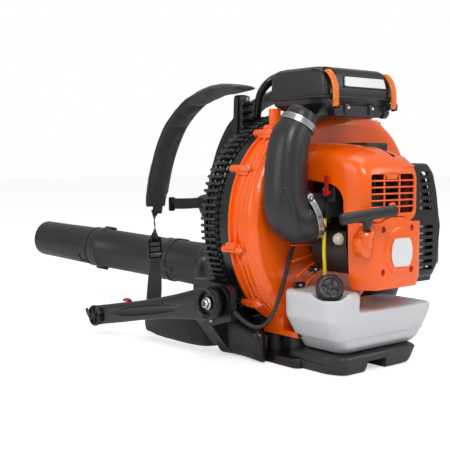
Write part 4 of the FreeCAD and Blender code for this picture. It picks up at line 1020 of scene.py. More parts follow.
    def plate(self) -> None:
        """A blank metal-look plate with round sides and flat ends."""
        pairs = []
        for sign in (1, -1):
            for step in range(-5, 6):
                angle = math.radians(step * 9.5)
                pairs.append((10 + sign * (29 * math.cos(angle)), 212.5 + sign * 35 * math.sin(angle)))
        outline = plane_points(pairs, "xz", -236.6)
        plate = soften(prism("starter_plate", outline, mm(0, 1.6, 0)), 0.6 * MM)
        settle(plate, PLATE, "root", "orange_shell")
        rim = wire("starter_plate_rim", [point + mm(0, 0.1, 0) for point in outline + outline[:1]], 0.7 * MM)
        settle(rim, SHELL, "root", "orange_shell")

    def guide(self) -> None:
        """The rope's funnel on the housing's upper left corner, with a hooked lip."""
        joint = joint_of("starter_pull")
        axis = Vector(joint["axis"])
        foot = mm(-79, -231, 243)
        profile = [(6.7, 16.4), (9.5, 17.2), (12.6, 15), (12.8, 9), (11.2, 2), (11.5, -8), (12.5, -16),
                   (6.7, -16), (6.7, 16.4)]
        funnel = lathe("rope_guide", profile, foot, axis, 40)
        saddle = prism("rope_guide_saddle", rounded_outline(plane_points(
            [(-62, 262), (-62, 214), (-72, 206), (-88, 214), (-93, 238), (-84, 248), (-72, 262)], "xz", -231),
            6 * MM, 3),
            mm(0, 22, 0))
        settle(joined("rope_guide_bracket",
                      [paint(funnel, SHELL), paint(soften(saddle, 2.2 * MM, 3), SHELL)]), None,
               "root", "orange_shell")

    def build(self) -> None:
        """Makes both covers."""
        self.cover()
        self.starter()


def joint_of(name: str) -> dict:
    """A joint of the frame by its name."""
    return next(joint for joint in frame["joints"] if joint["name"] == name)


@dataclass
class MufflerGuard:
    """Black slotted heat guard, the bright shield behind it, its outer pad and its lower bracket."""

    rear: float = -215
    front: float = -88

    def outline(self, wall: float) -> list[tuple[float, float]]:
        """The guard seen from the rear, made smaller by a wall's thickness."""
        return [(74 - wall * 3, 157 + wall), (128 - wall, 157 + wall), (143 - wall, 176 + wall),
                (151 - wall, 252),
                (146 - wall, 272), (139 - wall, 312), (128 - wall, 350 - wall), (112 - wall, 367 - wall),
                (74 - wall * 3, 367 - wall)]

    def build(self) -> None:
        """Makes the guard and what is on it."""
        stations = ((self.rear, 7), (self.rear + 2.5, 3), (self.rear + 7, 0.6), (self.rear + 14, 0),
                    (self.front, 0))
        rings = [[point for point in rounded_outline(plane_points(self.outline(inset), "xz", y), 5 * MM, 3)]
                 for y, inset in stations]
        inner = [rounded_outline(plane_points(self.outline(inset + 3), "xz", y), 4 * MM, 3)
                 for y, inset in ((self.rear + 3, 5), (self.rear + 8, 1), (self.rear + 14, 0),
                                  (self.front + 20, 0))]
        slots = []
        for z in self.slot_levels():
            reach = 138 - 0.10 * max(0, z - 260) * 2
            slots.append(soften(brick("slot", mm(84, self.rear - 8, z),
                                      mm(reach - 14, self.rear + 12, z + 6.6)), 2 * MM, 3))
            slots.append(soften(brick("slot", mm(reach - 6, self.rear + 20, z),
                                      mm(176, self.front - 24, z + 6.6)), 2 * MM, 3))
        guard = carve(loft("muffler_guard_shell", rings), loft("hollow", inner),
                      *[bake_stack(slot) for slot in slots])
        settle(soften(guard, 0.8 * MM, 2, 32), BLACK, "root", "black_plastic", "muffler_guard")
        pad = prism("muffler_guard_pad", rounded_outline(plane_points(
            [(self.rear + 16, 176), (self.rear + 92, 176), (self.rear + 96, 256), (self.rear + 16, 257)],
            "yz", 150), 8 * MM),
            mm(15, 0, 0))
        settle(soften(pad, 3 * MM, 3), BLACK, "root", "black_plastic")
        foot = prism("muffler_guard_bracket", rounded_outline(plane_points(
            [(80, 149), (84, 172), (140, 172), (134, 149)], "xz", self.rear + 12), 4 * MM), mm(0, 60, 0))
        settle(soften(foot, 2 * MM, 3), BLACK, "root", "black_plastic")
        shield = [rounded_outline(plane_points(self.outline(11), "xz", y), 8 * MM, 3)
                  for y in (self.rear + 12, self.front)]
        settle(soften(loft("muffler_shield", shield), 4 * MM, 3), STEEL, "root", "exhaust_steel", "muffler")

    def slot_levels(self) -> list[float]:
        """Lower edges of the slots: one group low and one high."""
        return [172 + 12.6 * row for row in range(7)] + [282 + 12.6 * row for row in range(6)]


# ---- fuel tank ----------------------------------------------------------------------------


@dataclass
class FuelTank:
    """Blow-moulded tank with its filler recess, cap and skid."""

    low: float = 34
    deck: float = 109
    shoulder: float = 144
    rear: float = -205
    front: float = -80

    def block(self, name: str, x0: float, x1: float,
              levels: Sequence[tuple[float, float, float]]) -> bpy.types.Object:
        """A solid of rounded level outlines, each (height, side inset, rear inset)."""
        rings = []
        for height, inset, back in levels:
            left, right = x0 + inset, x1 - inset * 0.6
            corners = plane_points([(left, self.rear + back), (right, self.rear + back), (right, self.front),
                                    (left, self.front)], "xy", height)
            rings.append(rounded_outline(corners, 20 * MM, 5))
        return loft(name, rings)

    def build(self) -> None:
        """Makes the tank and what belongs to it."""
        body = self.block("fuel_tank_shell", -131, 146, (
            (self.low, 50, 24), (self.low + 12, 42, 12), (self.low + 40, 18, 5), (self.deck - 12, 2, 1),
            (self.deck - 3, 1, 1), (self.deck, 5, 5)))
        tower = self.block("tower", -131, -50, (
            (60, 27, 10), (self.deck - 12, 2, 3), (self.shoulder - 10, 0, 1), (self.shoulder - 2, 2, 3),
            (self.shoulder, 6, 7)))
        cap_axis = Vector(joint_of("cap_turn")["axis"])
        seat = Vector(joint_of("cap_turn")["pos_m"])
        recess = turned("recess", [(0, 0.06), (0.033, 0.06), (0.029, -0.006), (0, -0.006)],
                        seat, cap_axis, 40)
        union = body.modifiers.new("tower", "BOOLEAN")
        union.operation = "UNION"
        union.solver = "EXACT"
        union.object = tower
        cut = body.modifiers.new("recess", "BOOLEAN")
        cut.operation = "DIFFERENCE"
        cut.solver = "EXACT"
        cut.object = recess
        grid = body.modifiers.new("grid", "REMESH")
        grid.mode = "VOXEL"
        grid.voxel_size = 2.6 * MM
        grid.use_smooth_shade = True
        ease = body.modifiers.new("ease", "SMOOTH")
        ease.factor = 0.5
        ease.iterations = 9
        tank = bake_stack(body)
        for helper in (tower, recess):
            bpy.data.objects.remove(helper)
        settle(tank, TANK, "root", "tank_white", "fuel_tank")
        self.parting_line()
        self.cap(seat, cap_axis)
        self.skid()

    def parting_line(self) -> None:
        """The mould's faint parting line round the tank."""
        z = 62
        corners = plane_points([(-104.5, self.rear + 7.5), (130.5, self.rear + 7.5), (130.5, self.front - 4),
                                (-104.5, self.front - 4)], "xy", z)
        outline = rounded_outline(corners, 19 * MM, 6)
        settle(wire("tank_parting_line", outline + outline[:1], 0.8 * MM), TANK, "root", "tank_white")

    def cap(self, seat: Vector, axis: Vector) -> None:
        """Lobed filler cap with a raised grip bar on its face."""
        low, high = 4.0, 22.0
        rings = []
        for height, size in ((low, 0.98), (low + 2, 1.0), (high - 5, 1.0), (high - 1.5, 0.95), (high, 0.86)):
            side, rise = square_to(axis)
            section = []
            for step in range(96):
                angle = 2 * math.pi * step / 96
                scallop = 24.5 - 1.8 * max(0.0, math.cos(angle * 8)) ** 6
                section.append(seat + axis * height * MM
                               + (side * math.cos(angle) + rise * math.sin(angle)) * scallop * size * MM)
            rings.append(section)
        shell = loft("fuel_cap_shell", rings)
        side, rise = square_to(axis)
        dish = turned("dish", [(0, 0.03), (0.0165, 0.03), (0.015, 0.0185), (0, 0.0185)], seat, axis, 40)
        shell = carve(shell, dish)
        bars = []
        for angle in (20, 110):
            spin = side * math.cos(math.radians(angle)) + rise * math.sin(math.radians(angle))
            across = axis.cross(spin)
            foot = seat + axis * 18 * MM
            long_way, short_way = spin * 15.5 * MM, across * 2.2 * MM
            outline = [foot + long_way + short_way, foot - long_way + short_way,
                       foot - long_way - short_way, foot + long_way - short_way]
            bars.append(soften(prism("grip", outline, axis * 3.6 * MM), 0.8 * MM))
        bars.append(turned("hub", [(0, 0.0225), (0.005, 0.0222), (0.006, 0.021), (0.006, 0.018), (0, 0.018)],
                           seat, axis, 28))
        cap = joined("filler_cap", [paint(soften(shell, 0.7 * MM, 2, 36), GREY)]
                     + [paint(bar, GREY) for bar in bars])
        settle(cap, None, body_of("fuel_cap"), "grey_plastic", "fuel_cap")

    def skid(self) -> None:
        """Dark skid under the tank with a central notch and runners."""
        rings = []
        for height, inset in ((0, 10), (2.5, 6), (10, 3.5), (24, 1), (30, 0), (33, 1.5)):
            x0, x1 = -112 + inset, 108 - inset * 2.2
            corners = plane_points([(x0 + 14, self.rear + 1 + inset), (x1 - 14, self.rear + 1 + inset),
                                    (x1, self.rear + 22 + inset),
                                    (x1, self.front), (x0, self.front), (x0, self.rear + 30 + inset)],
                                   "xy", height)
            rings.append(rounded_outline(corners, 12 * MM, 4))
        notch = prism("notch", plane_points([(-42, -8), (-36, 20), (12, 20), (20, -8)], "xz", -230),
                      mm(0, 90, 0))
        step = brick("step", mm(-160, self.rear - 20, 17.2), mm(-108, self.front + 20, 18.6))
        skid = carve(loft("tank_skid", rings), notch, step)
        settle(soften(skid, 1.6 * MM, 3, 32), GREY, "root", "grey_plastic", "tank_guard")


# ---- air filter and duct ------------------------------------------------------------------


@dataclass
class AirFilter:
    """Filter box with its lid, ribbed latches, blank plate, moulded duct and band clamps."""

    half: float = 93
    rear: float = -150
    seam: float = 486
    top: float = 538
    latch_places: tuple[float, float] = (-77, 77)

    def level(self, height: float, side: float, back: float, front: float, corner: float) -> list[Vector]:
        """A level outline of the box, pulled in by so much at the sides, the back and the front."""
        x, y0, y1 = self.half - side, self.rear + back, -2 - front
        return rounded_outline(plane_points([(-x, y0), (x, y0), (x, y1), (-x, y1)], "xy", height),
                               corner * MM, 6)

    def lid(self) -> None:
        """Domed lid: upright skirt, chamfered shoulders and a falling rear face."""
        stations = ((self.seam + 0.4, 0, 0, 0, 10), (self.seam + 3, -0.6, -0.6, 0, 10),
                    (self.seam + 13, 0, 0, 0, 10), (self.seam + 14.5, 1.6, 2.4, 1, 10),
                    (self.seam + 34, 2.4, 6, 2, 11), (self.seam + 40, 3.4, 8, 3, 12),
                    (self.seam + 46, 6, 13, 5, 13), (self.top - 2, 12, 22, 9, 15), (self.top, 19, 34, 16, 15))
        shell = loft("filter_lid_shell", [self.level(*row) for row in stations])
        hollow = loft("hollow", [self.level(z - (4 if z < self.seam + 3 else 3),
                                            side + 3, back + 3, front + 3, corner - 2)
                                 for z, side, back, front, corner in stations])
        grooves = []
        for x in self.latch_places:
            groove = prism("groove", rounded_outline(plane_points(
                [(self.rear - 8, self.seam - 12), (self.rear + 3.2, self.seam - 12),
                 (self.rear + 3.2, self.seam + 20),
                 (self.rear + 18, self.seam + 42), (self.rear + 42, self.top + 2),
                 (self.rear - 8, self.top + 4)],
                "yz", x - 12.5), 4 * MM), mm(25, 0, 0))
            grooves.append(groove)
        shell = carve(shell, hollow, *grooves)
        settle(soften(shell, 1.3 * MM, 3, 26), GREY, "filter_lid", "grey_plastic", "filter_cover")
        for index, x in enumerate(self.latch_places):
            floor = [(self.rear + 3.6, self.seam + 1), (self.rear + 3.6, self.seam + 21),
                     (self.rear + 18, self.seam + 42.6), (self.rear + 42, self.top - 3.4),
                     (self.rear + 42, self.top - 6), (self.rear + 20, self.seam + 38),
                     (self.rear + 7, self.seam + 20), (self.rear + 7, self.seam + 1)]
            bed = prism(f"filter_latch_bed_{index + 1}", plane_points(floor, "yz", x - 12), mm(24, 0, 0))
            settle(soften(bed, 0.6 * MM), BLACK, "filter_lid", "black_plastic")
        plate = prism("filter_plate", rounded_outline([
            mm(-45, -149.6, self.seam + 16.5), mm(64, -149.6, self.seam + 16.5),
            mm(61, -146.2, self.seam + 33.5),
            mm(-42, -146.2, self.seam + 33.5)], 2.5 * MM, 3), mm(0, 3.4, 0.9))
        settle(soften(plate, 0.5 * MM), PLATE, "filter_lid", "grey_plastic")
        rim = rounded_outline([mm(-47.5, -148.4, self.seam + 14.5), mm(66.5, -148.4, self.seam + 14.5),
                               mm(63.5, -144.6, self.seam + 35.5), mm(-44.5, -144.6, self.seam + 35.5)],
                               3.5 * MM, 3)
        settle(wire("filter_plate_rim", rim + rim[:1], 1.0 * MM), GREY, "filter_lid", "grey_plastic")

    def base(self) -> None:
        """Lower half with a belly, the spout to the duct, lugs and the screwed feet."""
        rows = ((self.seam, 0.6, 0.6, 0, 16), (self.seam - 4, 0.6, 0.6, 0, 16), (self.seam - 6, 3, 3, 2, 16),
                (472, 5, 7, 3, 18), (466, 12, 16, 6, 20), (452, 20, 24, 40, 22), (449, 26, 30, 48, 20))
        tray = loft("filter_base_shell", [self.level(*row) for row in rows])
        hollow = loft("hollow", [self.level(z + 5, side + 4, back + 4, front + 4, corner)
                                 for z, side, back, front, corner in rows])
        axis = direction(0.5, -0.1, 0.86)
        foot = mm(-112.4, -104.2, 442.1)
        bend = smooth_path([foot, foot + axis * 10 * MM, mm(-97, -106, 457), mm(-82, -108, 461),
                            mm(-66, -110, 463)], 4)
        spout_rings = swept_rings(bend, lambda share: (29 - 8 * share) * MM, 48, Vector((0, 1, 0)))
        spout = loft("spout", spout_rings)
        bore = turned("bore", [(0, 0.05), (0.026, 0.05), (0.026, -0.02), (0, -0.02)], foot, axis, 40)
        tray = carve(tray, hollow)
        tray = joined("filter_base_box", [paint(tray, GREY), paint(carve(spout, bore), GREY)])
        settle(soften(tray, 1.2 * MM, 2, 30), None, "root", "grey_plastic", "filter_base")
        lugs = []
        for x in (-40, 24, 66):
            lug = prism("lug", rounded_outline(plane_points(
                [(-146, 474), (-146, 456), (-138, 448), (-126, 452), (-124, 474)], "yz", x), 4 * MM),
                mm(13, 0, 0))
            lugs.append(paint(soften(lug, 1.5 * MM, 3), GREY))
            lugs.append(screw_head(mm(x + 6.5, -146, 465), direction(0, -1, 0), 3.4 * MM))
        settle(joined("filter_base_lugs", lugs), None, "root", "grey_plastic")
        skirt = prism("filter_base_skirt", rounded_outline(plane_points(
            [(-68, 470), (-62, 450), (58, 450), (72, 470)], "xz", -142), 6 * MM), mm(0, 20, 0))
        settle(soften(skirt, 2.5 * MM, 3), GREY, "root", "grey_plastic")

    def latches(self) -> None:
        """Swinging hooks with cross ribs, following the lid's shoulder."""
        line = [(self.rear - 4.5, self.seam - 20), (self.rear - 6.5, self.seam - 6),
                (self.rear - 5.5, self.seam + 12),
                (self.rear - 0.5, self.seam + 27), (self.rear + 8, self.seam + 38),
                (self.rear + 15, self.seam + 43)]
        for node, x in zip(("latch_left", "latch_right"), self.latch_places):
            path = smooth_path([mm(x, y, z) for y, z in line], 6)
            rings = []
            for index, point in enumerate(path):
                tangent = (path[min(index + 1, len(path) - 1)] - path[max(index - 1, 0)]).normalized()
                rise = Vector((1, 0, 0)).cross(tangent)
                rings.append(ring(point, Vector((1, 0, 0)), rise, 5.6 * MM, 2.4 * MM, 16, 5))
            pieces = [paint(soften(loft("strap", rings), 0.5 * MM), LATCH)]
            for index in range(2, len(path) - 2):
                tangent = (path[index + 1] - path[index - 1]).normalized()
                outward = Vector((1, 0, 0)).cross(tangent)
                centre = path[index] + outward * 2.6 * MM
                rib = ring(centre, tangent, outward, 1.2 * MM, 1.1 * MM, 8)
                rings = [[point + mm(dx, 0, 0) for point in rib] for dx in (-5.0, 5.0)]
                pieces.append(paint(loft("rib", rings), LATCH))
            pin = ring(mm(x, self.rear - 4, self.seam - 16), Vector((0, 1, 0)), UP, 3.6 * MM, 3.6 * MM, 20)
            pieces.append(paint(loft("pin", [[point + mm(dx, 0, 0) for point in pin] for dx in (-7.5, 7.5)]),
                                LATCH))
            settle(joined(node + "_hook", pieces), None, body_of(node), "latch_orange", node)
        ears = []
        for x in self.latch_places:
            for side in (-10.5, 8.1):
                ear = rounded_outline(plane_points([(self.rear + 6, self.seam - 24),
                                                    (self.rear - 8, self.seam - 22),
                                                    (self.rear - 8, self.seam - 10),
                                                    (self.rear + 6, self.seam - 6)],
                                                   "yz", x + side), 3 * MM)
                ears.append(paint(soften(prism("ear", ear, mm(2.4, 0, 0)), 0.6 * MM), GREY))
        settle(joined("filter_latch_ears", ears), None, "root", "grey_plastic")

    def duct_path(self) -> list[tuple[Vector, float, float]]:
        """Stations of the duct: centre, half width and half depth."""
        return [(mm(-113, -104, 441), 30.0, 30.0), (mm(-118.5, -103, 431.5), 30.2, 30.2),
                (mm(-127, -101, 419), 32, 32.5),
                (mm(-134, -100, 402), 33.5, 34), (mm(-139, -99.5, 376), 34, 35),
                (mm(-141, -99.5, 345), 35.5, 36),
                (mm(-141, -100, 315), 38, 38), (mm(-139, -101, 290), 41, 40), (mm(-131, -104, 269), 43.5, 42),
                (mm(-117, -109, 261.5), 43.5, 43), (mm(-103.5, -113.5, 268), 41.5, 41.5),
                (mm(-96.5, -116, 275), 40.2, 40.2)]

    def duct(self) -> None:
        """The dark duct with a raised loop on its face and a shoulder below the upper clamp."""
        stations = self.duct_path()
        centres = [centre for centre, _, _ in stations]
        rings = []
        for index, (centre, wide, deep) in enumerate(stations):
            tangent = (centres[min(index + 1, len(centres) - 1)] - centres[max(index - 1, 0)]).normalized()
            if index == 0:
                tangent = -direction(0.5, -0.1, 0.86)
            side, rise = square_to(tangent, Vector((0, 1, 0)))
            rings.append(ring(centre, side, rise, wide * MM, deep * MM, 32, 2.5 if 1 < index < 9 else 2.0))
        skin = loft("air_duct_skin", rings, caps=False)
        shell = skin.modifiers.new("wall", "SOLIDIFY")
        shell.thickness = 2.5 * MM
        shell.offset = -1
        subdivide(skin, 2)
        settle(skin, GREY, "root", "grey_plastic", "air_duct")
        settle(self.loop(Surface(skin)), GREY, "root", "grey_plastic")
        seam = [centre + mm(0, -deep + 0.3, 0) for centre, _, deep in stations[2:9]]
        line = wire("air_duct_seam", [point + mm(-2, 0, 0) for point in seam], 1.0 * MM)
        settle(line, GREY, "root", "grey_plastic")

    def loop(self, skin: Surface) -> bpy.types.Object:
        """The raised loop moulded on the duct's lower face."""
        spots = []
        for turn, height in ((206, 240), (205, 262), (205, 284), (206, 305), (211, 321), (219, 327),
                             (227, 320), (234, 302),
                             (242, 282), (250, 264), (258, 250)):
            angle = math.radians(turn)
            out = Vector((math.cos(angle), math.sin(angle), 0))
            hit = skin.hit(mm(-137, -101, height) + out * 0.1, -out)
            if hit:
                spots.append(hit[0] - hit[1] * 0.4 * MM)
        return wire("air_duct_loop", spots, 2.8 * MM)

    def clamps(self) -> None:
        """Slotted worm-drive bands, each with its housing and screw."""
        hose_axis = Vector((0, 1, 0))
        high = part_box("outlet_elbow")[1]
        mouth = Vector(((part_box("hose_rear_section")[0].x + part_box("hose_rear_section")[1].x) / 2,
                        high.y - 0.010, 0.0816))
        pieces = []
        for place, axis, size, turn in ((mm(-115.5, -103.4, 436), direction(0.5, -0.1, 0.86), 31.6, 200),
                                        (mm(-99, -115, 272.5), direction(0.94, -0.3, 0.3), 42.6, 60),
                                        (mouth, hose_axis, 57, 120)):
            pieces += self.band(place, axis, size, turn)
        settle(joined("band_clamp_set", pieces), None, "root", "steel", "band_clamps")

    def band(self, place: Vector, axis: Vector, size: float, turn: float) -> list[bpy.types.Object]:
        """One worm-drive band about an axis."""
        side, rise = square_to(axis)
        profile = [(size + 0.9, 5.5), (size + 1.1, 5.2), (size + 1.1, -5.2), (size + 0.9, -5.5), (size, -5.5),
                   (size, 5.5),
                   (size + 0.9, 5.5)]
        pieces = [paint(lathe("band", profile, place, axis, 72), STEEL)]
        count = int(size * 1.5)
        for step in range(count):
            angle = 2 * math.pi * step / count
            out = side * math.cos(angle) + rise * math.sin(angle)
            around = axis.cross(out)
            centre = place + out * (size + 1.0) * MM
            corners = [centre + axis * h * MM + around * w * MM
                       for h, w in ((-3.2, -0.55), (3.2, 0.15), (3.2, 0.85), (-3.2, 0.15))]
            pieces.append(paint(prism("slot", corners, out * 0.25 * MM), BLACK))
        angle = math.radians(turn)
        out = side * math.cos(angle) + rise * math.sin(angle)
        around = axis.cross(out)
        centre = place + out * (size + 4.5) * MM
        corners = [centre + axis * h * MM + around * w * MM
                   for h, w in ((-6.5, -8), (6.5, -8), (6.5, 7), (-6.5, 7))]
        pieces.append(paint(soften(prism("housing", [point - out * 4 * MM for point in corners],
                                         out * 7.5 * MM), 2 * MM, 3), STEEL))
        barrel = [(0, 11), (3.6, 11), (3.9, 10), (3.9, 6.2), (3.1, 6), (3.1, -11), (0, -11)]
        pieces.append(paint(lathe("worm", barrel, centre, around, 20), STEEL))
        return pieces

    def build(self) -> None:
        """Makes the whole air filter."""
        self.lid()
        self.base()
        self.latches()
        self.duct()
        self.clamps()


# ---- hose and tube --------------------------------------------------------------------------


@dataclass
class BlowerTube:
    """Corrugated hose, swivel, middle tube, end tube and the clamp-on handle."""

    pitch: float = 9.5
    depth: float = 3.2
    hose_radius: float = 56.5

    def __post_init__(self) -> None:
        """Reads the tube's line from the swivel joint."""
        joint = joint_of("tube_swivel")
        self.axis = Vector(joint["axis"]).normalized()
        self.origin = Vector(joint["pos_m"]) + self.axis * 0.060
        self.side, self.rise = square_to(self.axis)

    def spot(self, along: float, turn: float = 0.0, radius: float = 0.0) -> Vector:
        """A point by its distance along the tube, its turn from the top and its radius, in millimetres."""
        angle = math.radians(turn)
        return (self.origin + self.axis * along * MM
                + (self.rise * math.cos(angle) + self.side * math.sin(angle)) * radius * MM)

    def tube(self, name: str, profile: Sequence[tuple[float, float]],
             recipe: MouldedPlastic) -> bpy.types.Object:
        """A turned tube from (along, radius) pairs, outside first, with its wall closed."""
        pairs = [(radius * MM, along * MM) for along, radius in reversed(profile)]
        pairs.append(pairs[0])
        piece = turned(name, pairs, self.origin, self.axis, 64)
        return paint(piece, recipe)

    def collar(self, along: float, wide: float, radius: float, recipe: MouldedPlastic) -> bpy.types.Object:
        """A raised ring round the tube."""
        half = wide / 2
        profile = [(along - half, radius - 3), (along - half, radius + 1.0),
                   (along - half + 1.4, radius + 1.8),
                   (along + half - 1.4, radius + 1.8), (along + half, radius + 1.0),
                   (along + half, radius - 3)]
        return self.tube("collar", profile, recipe)

    def bump(self, along: float, turn: float, radius: float, long: float, wide: float,
             tall: float) -> bpy.types.Object:
        """A latch bump standing on the tube."""
        angle = math.radians(turn)
        out = self.rise * math.cos(angle) + self.side * math.sin(angle)
        around = self.axis.cross(out)
        foot = self.origin + self.axis * along * MM + out * (radius - 2.5) * MM
        corners = [foot + self.axis * a * long / 2 * MM + around * b * wide / 2 * MM
                   for a, b in ((-1, -1), (1, -1), (1, 1), (-1, 1))]
        block = prism("bump", rounded_outline(corners, 3 * MM, 3), out * (tall + 2.5) * MM)
        return paint(soften(block, 1.3 * MM, 3), DARK_GREY)

    def tubes(self) -> None:
        """The three rigid tubes with their collars and latches."""
        swivel = [(-58, 54), (-20, 54), (-13, 56), (-9, 61), (-2, 63.2), (4, 62.5), (8, 59), (12, 56.2),
                  (22, 55.2), (112, 53.4),
                  (118, 54.6), (126, 54.6), (126, 50), (20, 51), (-58, 50.5)]
        pieces = [self.tube("swivel", swivel, DARK_GREY), self.collar(118, 13, 54.4, DARK_GREY)]
        pieces += [self.bump(104, turn, 53.5, 26, 14, 3.2) for turn in (12, 132, 252)]
        pieces += [self.bump(-4, turn, 61.5, 12, 9, 2.2) for turn in range(0, 360, 30)]
        settle(joined("swivel_tube_body", pieces), None, "wand", "grey_plastic", "swivel_tube")
        middle_tube = [(127, 54.6), (133, 54.6), (136, 53.2), (240, 52.6), (352, 52.4), (358, 55.2),
                       (364, 55.8), (382, 55.8),
                       (386.5, 54.8), (386.5, 50), (240, 49.8), (127, 50.5)]
        pieces = [self.tube("middle", middle_tube, DARK_GREY), self.collar(366, 9, 55.4, DARK_GREY)]
        pieces += [self.bump(368, turn, 55.6, 34, 15, 3.6) for turn in (15, 195)]
        pieces += [self.bump(146, turn, 53.0, 20, 10, 1.8) for turn in (15, 195)]
        settle(joined("middle_tube_body", pieces), None, "wand", "grey_plastic", "mid_tube")
        nozzle = [(387, 53.2), (393, 53.2), (396, 52.2), (430, 51.4), (500, 50.0), (566, 49), (604, 49),
                  (609, 48.2), (610, 47),
                  (608.5, 45.6), (566, 45), (387, 49.4)]
        pieces = [self.tube("nozzle", nozzle, DARK_GREY), self.collar(404, 6, 52.0, DARK_GREY)]
        pieces += [self.bump(414, turn, 51.6, 26, 8, 2.6) for turn in (40, 220)]
        pieces += [self.bump(430, turn, 51.2, 8, 26, 2.2) for turn in (52, 232)]
        pieces += [self.bump(474, 330, 50.2, 30, 5, 1.2)]
        settle(joined("nozzle_tube_body", pieces), None, "wand", "grey_plastic", "nozzle_tube")

    def handle(self) -> None:
        """Clamp ring with a screw, and a grip whose end is cut at a slant."""
        low, high = -54.0, -24.0
        profile = [(low, 55.5), (low, 60.5), (low + 2, 62), (high - 2, 62), (high, 60.5), (high, 55.5)]
        pieces = [self.tube("clamp", profile, GREY)]
        foot = self.spot(-39) + Vector((0, 0, 0.054))
        lean = direction(-0.05, 0.58, 0.81)
        side, rise = square_to(lean)
        rings = []
        for along, size in ((0, 17.5), (18, 16), (28, 18), (60, 19), (100, 18.4), (128, 19), (140, 19),
                            (145.5, 16.5)):
            rings.append(ring(foot + lean * along * MM, side, rise, size * MM, size * MM, 36))
        pieces.append(paint(loft("grip", rings), GREY))
        for step in range(7):
            along = 46 + step * 11
            ring_pairs = [(19.6, 2.0), (20.0, 0), (19.6, -2.0), (17.5, -2.0), (17.5, 2.0), (19.6, 2.0)]
            pieces.append(paint(lathe("rib", ring_pairs, foot + lean * along * MM, lean, 36), GREY))
        ear = self.bump(-39, 180, 61, 20, 30, 9)
        pieces += [paint(ear, GREY), screw_head(self.spot(-39, 180, 70.6), -self.rise, 6 * MM)]
        settle(joined("tube_grip", pieces), None, "wand", "grey_plastic", "tube_handle")

    def hose(self) -> None:
        """Two ribbed lengths of one hose, split at its middle."""
        start = Vector((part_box("hose_rear_section")[0].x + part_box("hose_rear_section")[1].x, 0, 0)) / 2
        start = Vector((start.x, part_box("hose_rear_section")[0].y, 0.0816))
        end = self.spot(-66)
        route = [start, start + Vector((0, 0.05, 0)), Vector((start.x, start.y + 0.13, 0.0845)),
                 end - self.axis * 0.075, end - self.axis * 0.03, end + self.axis * 0.004]
        path = smooth_path(route, 22)
        lengths = [0.0]
        for a, b in zip(path, path[1:]):
            lengths.append(lengths[-1] + (b - a).length)
        total = lengths[-1]
        count = int(total / (self.pitch * MM) * 8)
        fine = []
        for step in range(count + 1):
            goal = total * step / count
            index = next(k for k in range(1, len(lengths)) if lengths[k] >= goal - 1e-9)
            share = (goal - lengths[index - 1]) / max(1e-9, lengths[index] - lengths[index - 1])
            fine.append((path[index - 1].lerp(path[index], share), goal))
        split = len(fine) // 2
        cuffs = (0.016, total - 0.020)

        def size(goal: float) -> float:
            """Radius of the hose at a distance along it."""
            if goal < cuffs[0] or goal > cuffs[1]:
                return self.hose_radius * MM
            wave = math.cos(2 * math.pi * goal / (self.pitch * MM))
            return (self.hose_radius + self.depth * (0.5 - abs(wave) ** 0.6)) * MM

        for name, part, bodies, span, nodes in (
                ("hose_rear", fine[:split + 1], ("root", "hose_link"), (0.10, 0.8), ("hose_rear_section",)),
                ("hose_front", fine[split:], ("hose_link", "hose_end"), (0.1, 0.85),
                 ("hose_front_section",))):
            points = [spot for spot, _ in part]
            rings = []
            for index, (spot, goal) in enumerate(part):
                tangent = (points[min(index + 1, len(points) - 1)] - points[max(index - 1, 0)]).normalized()
                side, rise = square_to(tangent)
                rings.append(ring(spot, side, rise, size(goal), size(goal), 56))
            inner = []
            for section, spot in zip(reversed(rings), reversed(points)):
                inner.append([spot + (point - spot) * 0.93 for point in section])
            piece = loft(name, rings + inner + rings[:1], caps=False)
            paint(piece, HOSE)
            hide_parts(*nodes)
            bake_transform(piece)
            LOG.info("%s bends between %s and %s", name, *bodies)

    def build(self) -> None:
        """Makes the hose, the tubes and the handle."""
        self.hose()
        self.tubes()
        self.handle()


# ---- fan housing and frame ------------------------------------------------------------------


class Surface:
    """The outside of some pieces, to lay other pieces on."""

    def __init__(self, *items: bpy.types.Object) -> None:
        """Takes the outside of the given pieces as they are now."""
        bpy.context.view_layer.update()
        seen = bpy.context.evaluated_depsgraph_get()
        cage = bmesh.new()
        for item in items:
            cage.from_mesh(item.evaluated_get(seen).to_mesh())
        self.tree = BVHTree.FromBMesh(cage)
        cage.free()

    def hit(self, start: Vector, towards: Vector) -> tuple[Vector, Vector] | None:
        """Where a ray first meets the surface, and the surface's direction there."""
        spot, normal, _, _ = self.tree.ray_cast(start, towards.normalized())
        if spot is None:
            return None
        return spot, normal if normal.dot(towards) < 0 else -normal


